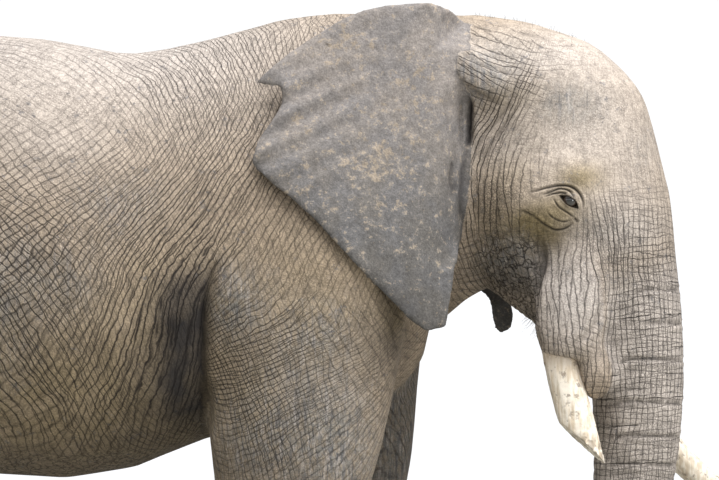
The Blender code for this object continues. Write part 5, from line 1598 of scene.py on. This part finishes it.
# %% Eyes
EYE_RINGS = (  # share of a right angle from the eye's own axis, colour
    (0.00, "#050404"), (0.22, "#060404"), (0.28, "#21130B"), (0.48, "#2C1A0F"),
    (0.58, "#0F0A07"), (0.70, "#2E221B"), (1.00, "#4A382D"),
)  # fmt: skip
CORNEA_RISE = 0.0016
GAZE_LEAN = (0.10, 0, -0.16)  # a little forward and down
iris, tree, shader = surface_of("wet_brown_eye", 0.06)
shader.inputs["IOR"].default_value = 1.50
shader.inputs["Coat Weight"].default_value = 1.0  # the film of tears
shader.inputs["Coat Roughness"].default_value = 0.04
shader.inputs["Coat IOR"].default_value = 1.70
stops = [(at, linear(code)) for at, code in EYE_RINGS]
dressed(tree, shader, colour_ramp(tree, carried(tree, "gaze").outputs["Fac"], stops))
for side, name in EYES:
    centre = eyes_at[side]
    bpy.ops.object.select_all(action="DESELECT")
    at = tuple(centre + ORIGIN)
    bpy.ops.mesh.primitive_uv_sphere_add(segments=64, ring_count=40, radius=EYE_RADIUS, location=at)
    ball = bpy.context.active_object
    ball.name = f"{name}_ball"
    bpy.ops.object.transform_apply(location=True, rotation=True, scale=True)
    gaze = eye_axes(side)[1] + np.array(GAZE_LEAN)
    gaze /= np.linalg.norm(gaze)
    shape = points_of(ball)
    aim = (shape - centre) / EYE_RADIUS
    off_axis = np.arccos(np.clip(aim @ gaze, -1, 1)) / math.radians(90)
    bulge = CORNEA_RISE * fade(off_axis, 0.62, 0.10)
    set_points(ball, shape + aim * bulge[:, None])
    store(ball, "gaze", "FLOAT", (off_axis,))
    bpy.ops.object.shade_smooth()
    ball.data.materials.append(iris)
    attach(ball, "root")
    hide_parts(name)
print("eyes set")

# %% [markdown]
# An elephant is nearly bald, but the hair it has is coarse: wiry strands as long as a forearm at the
# tail's end, long lashes on the upper lid, and short bristles on the chin and crown. Each hair is a
# thin three-sided tube that tapers to a point, and many are joined into one piece. Each keeps a small
# patch of the map OFBake at its root's place on the skin, unrolled about the animal's own axis.

# %% Hair
HAIR_STEPS = 8
HAIR_PATCH = 0.003  # side of a hair's patch of the map
TIP_TAPER = 0.85
MAP_EDGE, MAP_SPAN = 0.05, 0.85
BODY_REAR, BODY_LENGTH = -2.7, 4.6
BRUSH_FOOT, BRUSH_HEIGHT = 1.3, 0.3
SEED = 7


def hairs(name, paths, radii, spots):
    """Joined hairs: `paths` holds each one's places, `radii` its root radius, `spots` its patch."""
    count, steps = paths.shape[0], paths.shape[1]
    way = np.gradient(paths, axis=1)
    way /= np.linalg.norm(way, axis=2)[:, :, None]
    aside = np.cross(way, np.array((0.31, 0.80, 0.51)))
    aside /= np.linalg.norm(aside, axis=2)[:, :, None]
    beside = np.cross(way, aside)
    taper = (1 - TIP_TAPER * np.linspace(0, 1, steps) ** 1.5)[None, :] * radii[:, None]
    rounds = []
    for corner in range(3):
        turn = corner * 2 * math.pi / 3
        rounds.append(paths + (aside * math.cos(turn) + beside * math.sin(turn)) * taper[:, :, None])
    points = np.stack(rounds, axis=2).reshape(-1, 3) + ORIGIN
    faces, patches_at = [], []
    for hair in range(count):
        at_u, at_v = spots[hair]
        for step in range(steps - 1):
            base = (hair * steps + step) * 3
            for corner in range(3):
                other = (corner + 1) % 3
                faces.append((base + corner, base + other, base + 3 + other, base + 3 + corner))
                for u, v in ((0, 0), (1, 0), (1, 1), (0, 1)):
                    u, v = (corner + u) / 3, (step + v) / (steps - 1)
                    patches_at.append((at_u + HAIR_PATCH * u, at_v + HAIR_PATCH * v))
        last = (hair * steps + steps - 1) * 3
        faces.append((last, last + 1, last + 2))
        patches_at.extend([(at_u + HAIR_PATCH * u, at_v + HAIR_PATCH) for u in (0, 0.5, 1)])
        first = hair * steps * 3
        faces.append((first + 2, first + 1, first))
        patches_at.extend([(at_u + HAIR_PATCH * u, at_v) for u in (1, 0.5, 0)])
    mesh = bpy.data.meshes.new(name)
    mesh.from_pydata(points.tolist(), [], faces)
    layer = mesh.uv_layers.new(name="OFBake")
    layer.data.foreach_set("uv", np.array(patches_at, np.float32).ravel())
    piece = bpy.data.objects.new(name, mesh)
    bpy.context.scene.collection.objects.link(piece)
    shade_smooth(piece)
    piece.data.materials.append(coarse_hair)
    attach(piece, "root")
    print(name, count, "hairs,", len(mesh.polygons), "faces")
    return piece


def map_spots(across, up):
    """Places on the map, kept off its edges, from two shares of 0 to 1."""
    return np.column_stack((MAP_EDGE + MAP_SPAN * across, MAP_EDGE + MAP_SPAN * up))


def girth_spots(roots):
    """Each root's place on the skin unrolled about the animal's long axis."""
    turn = np.arctan2(roots[:, 2] - GIRTH_MIDDLE, roots[:, 1]) / (2 * math.pi) + 0.5
    return map_spots((roots[:, 0] - BODY_REAR) / BODY_LENGTH, turn)


def drooping(roots, ways, lengths, sunk, droop, sweep=0.0):
    """Hairs that start a share `sunk` inside the skin and bend down by `droop` and back by `sweep`."""
    t = np.linspace(0, 1, HAIR_STEPS)[None, :, None]
    paths = roots[:, None] + ways[:, None] * lengths[:, None, None] * (t - sunk)
    paths[:, :, 2] -= (lengths[:, None, None] * droop * t**2)[:, :, 0]
    paths[:, :, 0] -= (lengths[:, None, None] * sweep * t**2)[:, :, 0]
    return paths


coarse_hair, tree, shader = surface_of("coarse_black_hair", 0.42)
place = object_place(tree)
strand = noise_of(tree, place, 60.0, 1.0)
colour = tinted(tree, ramped(tree, strand.outputs[0], 0.35, 0.65), linear("#191410"), linear("#4A3D31"))
dressed(tree, shader, colour)

chance = np.random.default_rng(SEED)
TAIL_HAIRS = 460
TAIL_HAIR_LONGEST = 0.48
TAIL_HAIR_RADIUS = (0.0009, 0.0005)  # the least, and how much more at most
LOWEST_ROOT, ROOT_SPREAD = 1.335, 0.20
LOWEST_TIP, TIP_SPREAD = 0.925, 0.20
TAIL_AXIS = np.array((  # height, x, y of the tail's line and its radius
    (1.60, -2.530, 0.030, 0.031), (1.36, -2.510, 0.040, 0.024), (1.29, -2.505, 0.042, 0.020),
    (1.15, -2.495, 0.045, 0.014), (1.02, -2.485, 0.048, 0.008), (0.90, -2.480, 0.050, 0.004),
))[::-1]  # fmt: skip
root_z = LOWEST_ROOT + ROOT_SPREAD * chance.random(TAIL_HAIRS) ** 1.8
tip_z = LOWEST_TIP + TIP_SPREAD * chance.random(TAIL_HAIRS) ** 2
tip_z = np.maximum(tip_z, root_z - TAIL_HAIR_LONGEST)
turn = chance.random(TAIL_HAIRS) * 2 * math.pi
flare = 0.016 + 0.036 * chance.random(TAIL_HAIRS)
t = np.linspace(0, 1, HAIR_STEPS)[None, :]
z = root_z[:, None] + (tip_z - root_z)[:, None] * t
axis_x = np.interp(z, TAIL_AXIS[:, 0], TAIL_AXIS[:, 1])
axis_y = np.interp(z, TAIL_AXIS[:, 0], TAIL_AXIS[:, 2])
root_r = np.interp(root_z, TAIL_AXIS[:, 0], TAIL_AXIS[:, 3])[:, None] * 0.9
away = root_r * (1 - t) ** 2 + flare[:, None] * np.sin(np.pi * t**0.8) ** 0.8 + 0.006 * t
swirl = turn[:, None] + 0.5 * (chance.random(TAIL_HAIRS)[:, None] - 0.5) * t
paths = np.stack((axis_x + away * np.cos(swirl), axis_y + 0.8 * away * np.sin(swirl), z), axis=2)
radii = TAIL_HAIR_RADIUS[0] + TAIL_HAIR_RADIUS[1] * chance.random(TAIL_HAIRS)
brush_spots = map_spots(turn / (2 * math.pi), (root_z - BRUSH_FOOT) / BRUSH_HEIGHT)
brush = hairs("tail_brush_hair", paths, radii, brush_spots)
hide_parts("tail_brush")

# %% [markdown]
# The lashes root along the edge of the upper lid and droop over the eye. The bristles root in the skin
# itself, at points picked at random on the chin and crown, and stand out along the skin's own normals.

# %% Lashes and bristles
LASHES = 22
LASH_RADIUS, BRISTLE_RADIUS = 0.00042, 0.0005
CHIN_BRISTLES, CROWN_BRISTLES = 90, 120
CHIN_LENGTH, CROWN_LENGTH = 0.034, 0.020
skin_tree = tree_of(skin)
roots, ways = [], []
for side, centre in eyes_at.items():
    forward, outward = eye_axes(side)
    along = np.linspace(-0.80, 0.86, LASHES) * SLIT_HALF
    over = lid_edges(along)[0] + 0.0030
    s = SLIT_AT[0] + along * c - over * n
    up = SLIT_AT[1] + along * n + over * c
    for step in range(LASHES):
        guess = centre + forward * s[step] + outward * 0.045 + np.array((0, 0, up[step]))
        found = skin_tree.find_nearest(Vector(guess + ORIGIN))[0]
        roots.append(np.array(found) - ORIGIN)
        lean = along[step] / SLIT_HALF + 0.2 * (chance.random() - 0.5)
        ways.append(outward * 0.95 + forward * (0.20 + 0.40 * lean) + np.array((0, 0, 0.30)))
roots, ways = np.array(roots), np.array(ways)
lengths = 0.024 + 0.010 * chance.random(len(roots))
paths = drooping(roots, ways, lengths, 0.06, 0.45)
hairs("eyelashes", paths, np.full(len(roots), LASH_RADIUS), girth_spots(roots))

skin_points, skin_facing = points_of(skin), normals_of(skin)
chin = head * fade(level[:, 0], 0.86, 0.92) * fade(level[:, 2], 2.02, 1.95)
chin = chin * fade(np.abs(level[:, 1]), 0.17, 0.12) * fade(skin_facing[:, 2], 0.3, -0.1)
crown = head * fade(level[:, 2], 2.86, 2.93) * fade(level[:, 0], 0.65, 0.75)
bristly = np.concatenate([
    chance.choice(np.flatnonzero(chin > 0.5), CHIN_BRISTLES, replace=False),
    chance.choice(np.flatnonzero(crown > 0.5), CROWN_BRISTLES, replace=False),
])  # fmt: skip
roots = skin_points[bristly]
lengths = np.where(np.arange(len(bristly)) < CHIN_BRISTLES, CHIN_LENGTH, CROWN_LENGTH)
lengths = lengths * (0.6 + 0.8 * chance.random(len(bristly)))
ways = skin_facing[bristly] + 0.35 * (chance.random((len(bristly), 3)) - 0.5)
paths = drooping(roots, ways, lengths, 0.05, 0.25, 0.25)
hairs("chin_and_crown_bristles", paths, np.full(len(roots), BRISTLE_RADIUS), girth_spots(roots))

# %% [markdown]
# The stage is a plain pale floor under soft light: a very large lamp above and before the animal, a
# weaker one before its head, a small low one before the eye for its catch light, and a pale sky all round.
# The light is high, so the belly and the hollows fall dark.

# %% Stage
FLOOR_SIZE = 60
LAMPS = (  # name, place, size, watts
    ("lamp_sky", (1.5, -2.5, 9.0), 6.0, 830),
    ("lamp_front", (7.0, -3.0, 5.0), 3.5, 230),
    ("lamp_catch", (3.3, -4.4, 1.6), 1.1, 26),
)
LIT = (0.0, 0.0, 1.9)  # where the lamps aim
SKY_BANDS = (  # share of the way up, colour
    (0.00, (1.05, 1.06, 1.08, 1)), (0.13, (1.05, 1.05, 1.05, 1)), (0.24, (0.42, 0.42, 0.42, 1)),
    (0.50, (0.48, 0.48, 0.48, 1)), (0.80, (1.10, 1.10, 1.10, 1)), (1.00, (1.15, 1.15, 1.15, 1)),
)  # fmt: skip

bpy.ops.object.select_all(action="DESELECT")
bpy.ops.mesh.primitive_plane_add(size=FLOOR_SIZE, location=(0, 0, 0))
floor = bpy.context.active_object
floor.name = "floor"
plain, tree, shader = surface_of("pale_floor", 0.9)
shader.inputs["Base Color"].default_value = linear("#A9A89F")
floor.data.materials.append(plain)
floor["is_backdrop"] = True

lit = Vector(np.array(LIT) + ORIGIN)
for name, place, size, power in LAMPS:
    at = Vector(np.array(place) + ORIGIN)
    bpy.ops.object.light_add(type="AREA", location=at)
    lamp = bpy.context.active_object
    lamp.name = name
    lamp.data.size = size
    lamp.data.energy = power
    lamp.rotation_euler = (lit - at).to_track_quat("-Z", "Y").to_euler()

world = bpy.data.worlds.new("pale_sky")
bpy.context.scene.world = world
world.use_nodes = True
tree = world.node_tree
sky = tree.nodes["Background"]
way = add(tree, "ShaderNodeTexCoord").outputs["Generated"]
height = add(tree, "ShaderNodeSeparateXYZ", {0: way}).outputs["Z"]
tree.links.new(colour_ramp(tree, height, SKY_BANDS), sky.inputs["Color"])
sky.inputs["Strength"].default_value = 1.0
bpy.context.scene.view_settings.view_transform = "Standard"
print("lamps:", len(LAMPS))

# %% [markdown]
# Last, the size of everything that shows is printed.

# %% Size and finish
low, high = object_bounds()
print("visual box", [round(b - a, 3) for a, b in zip(low, high)])
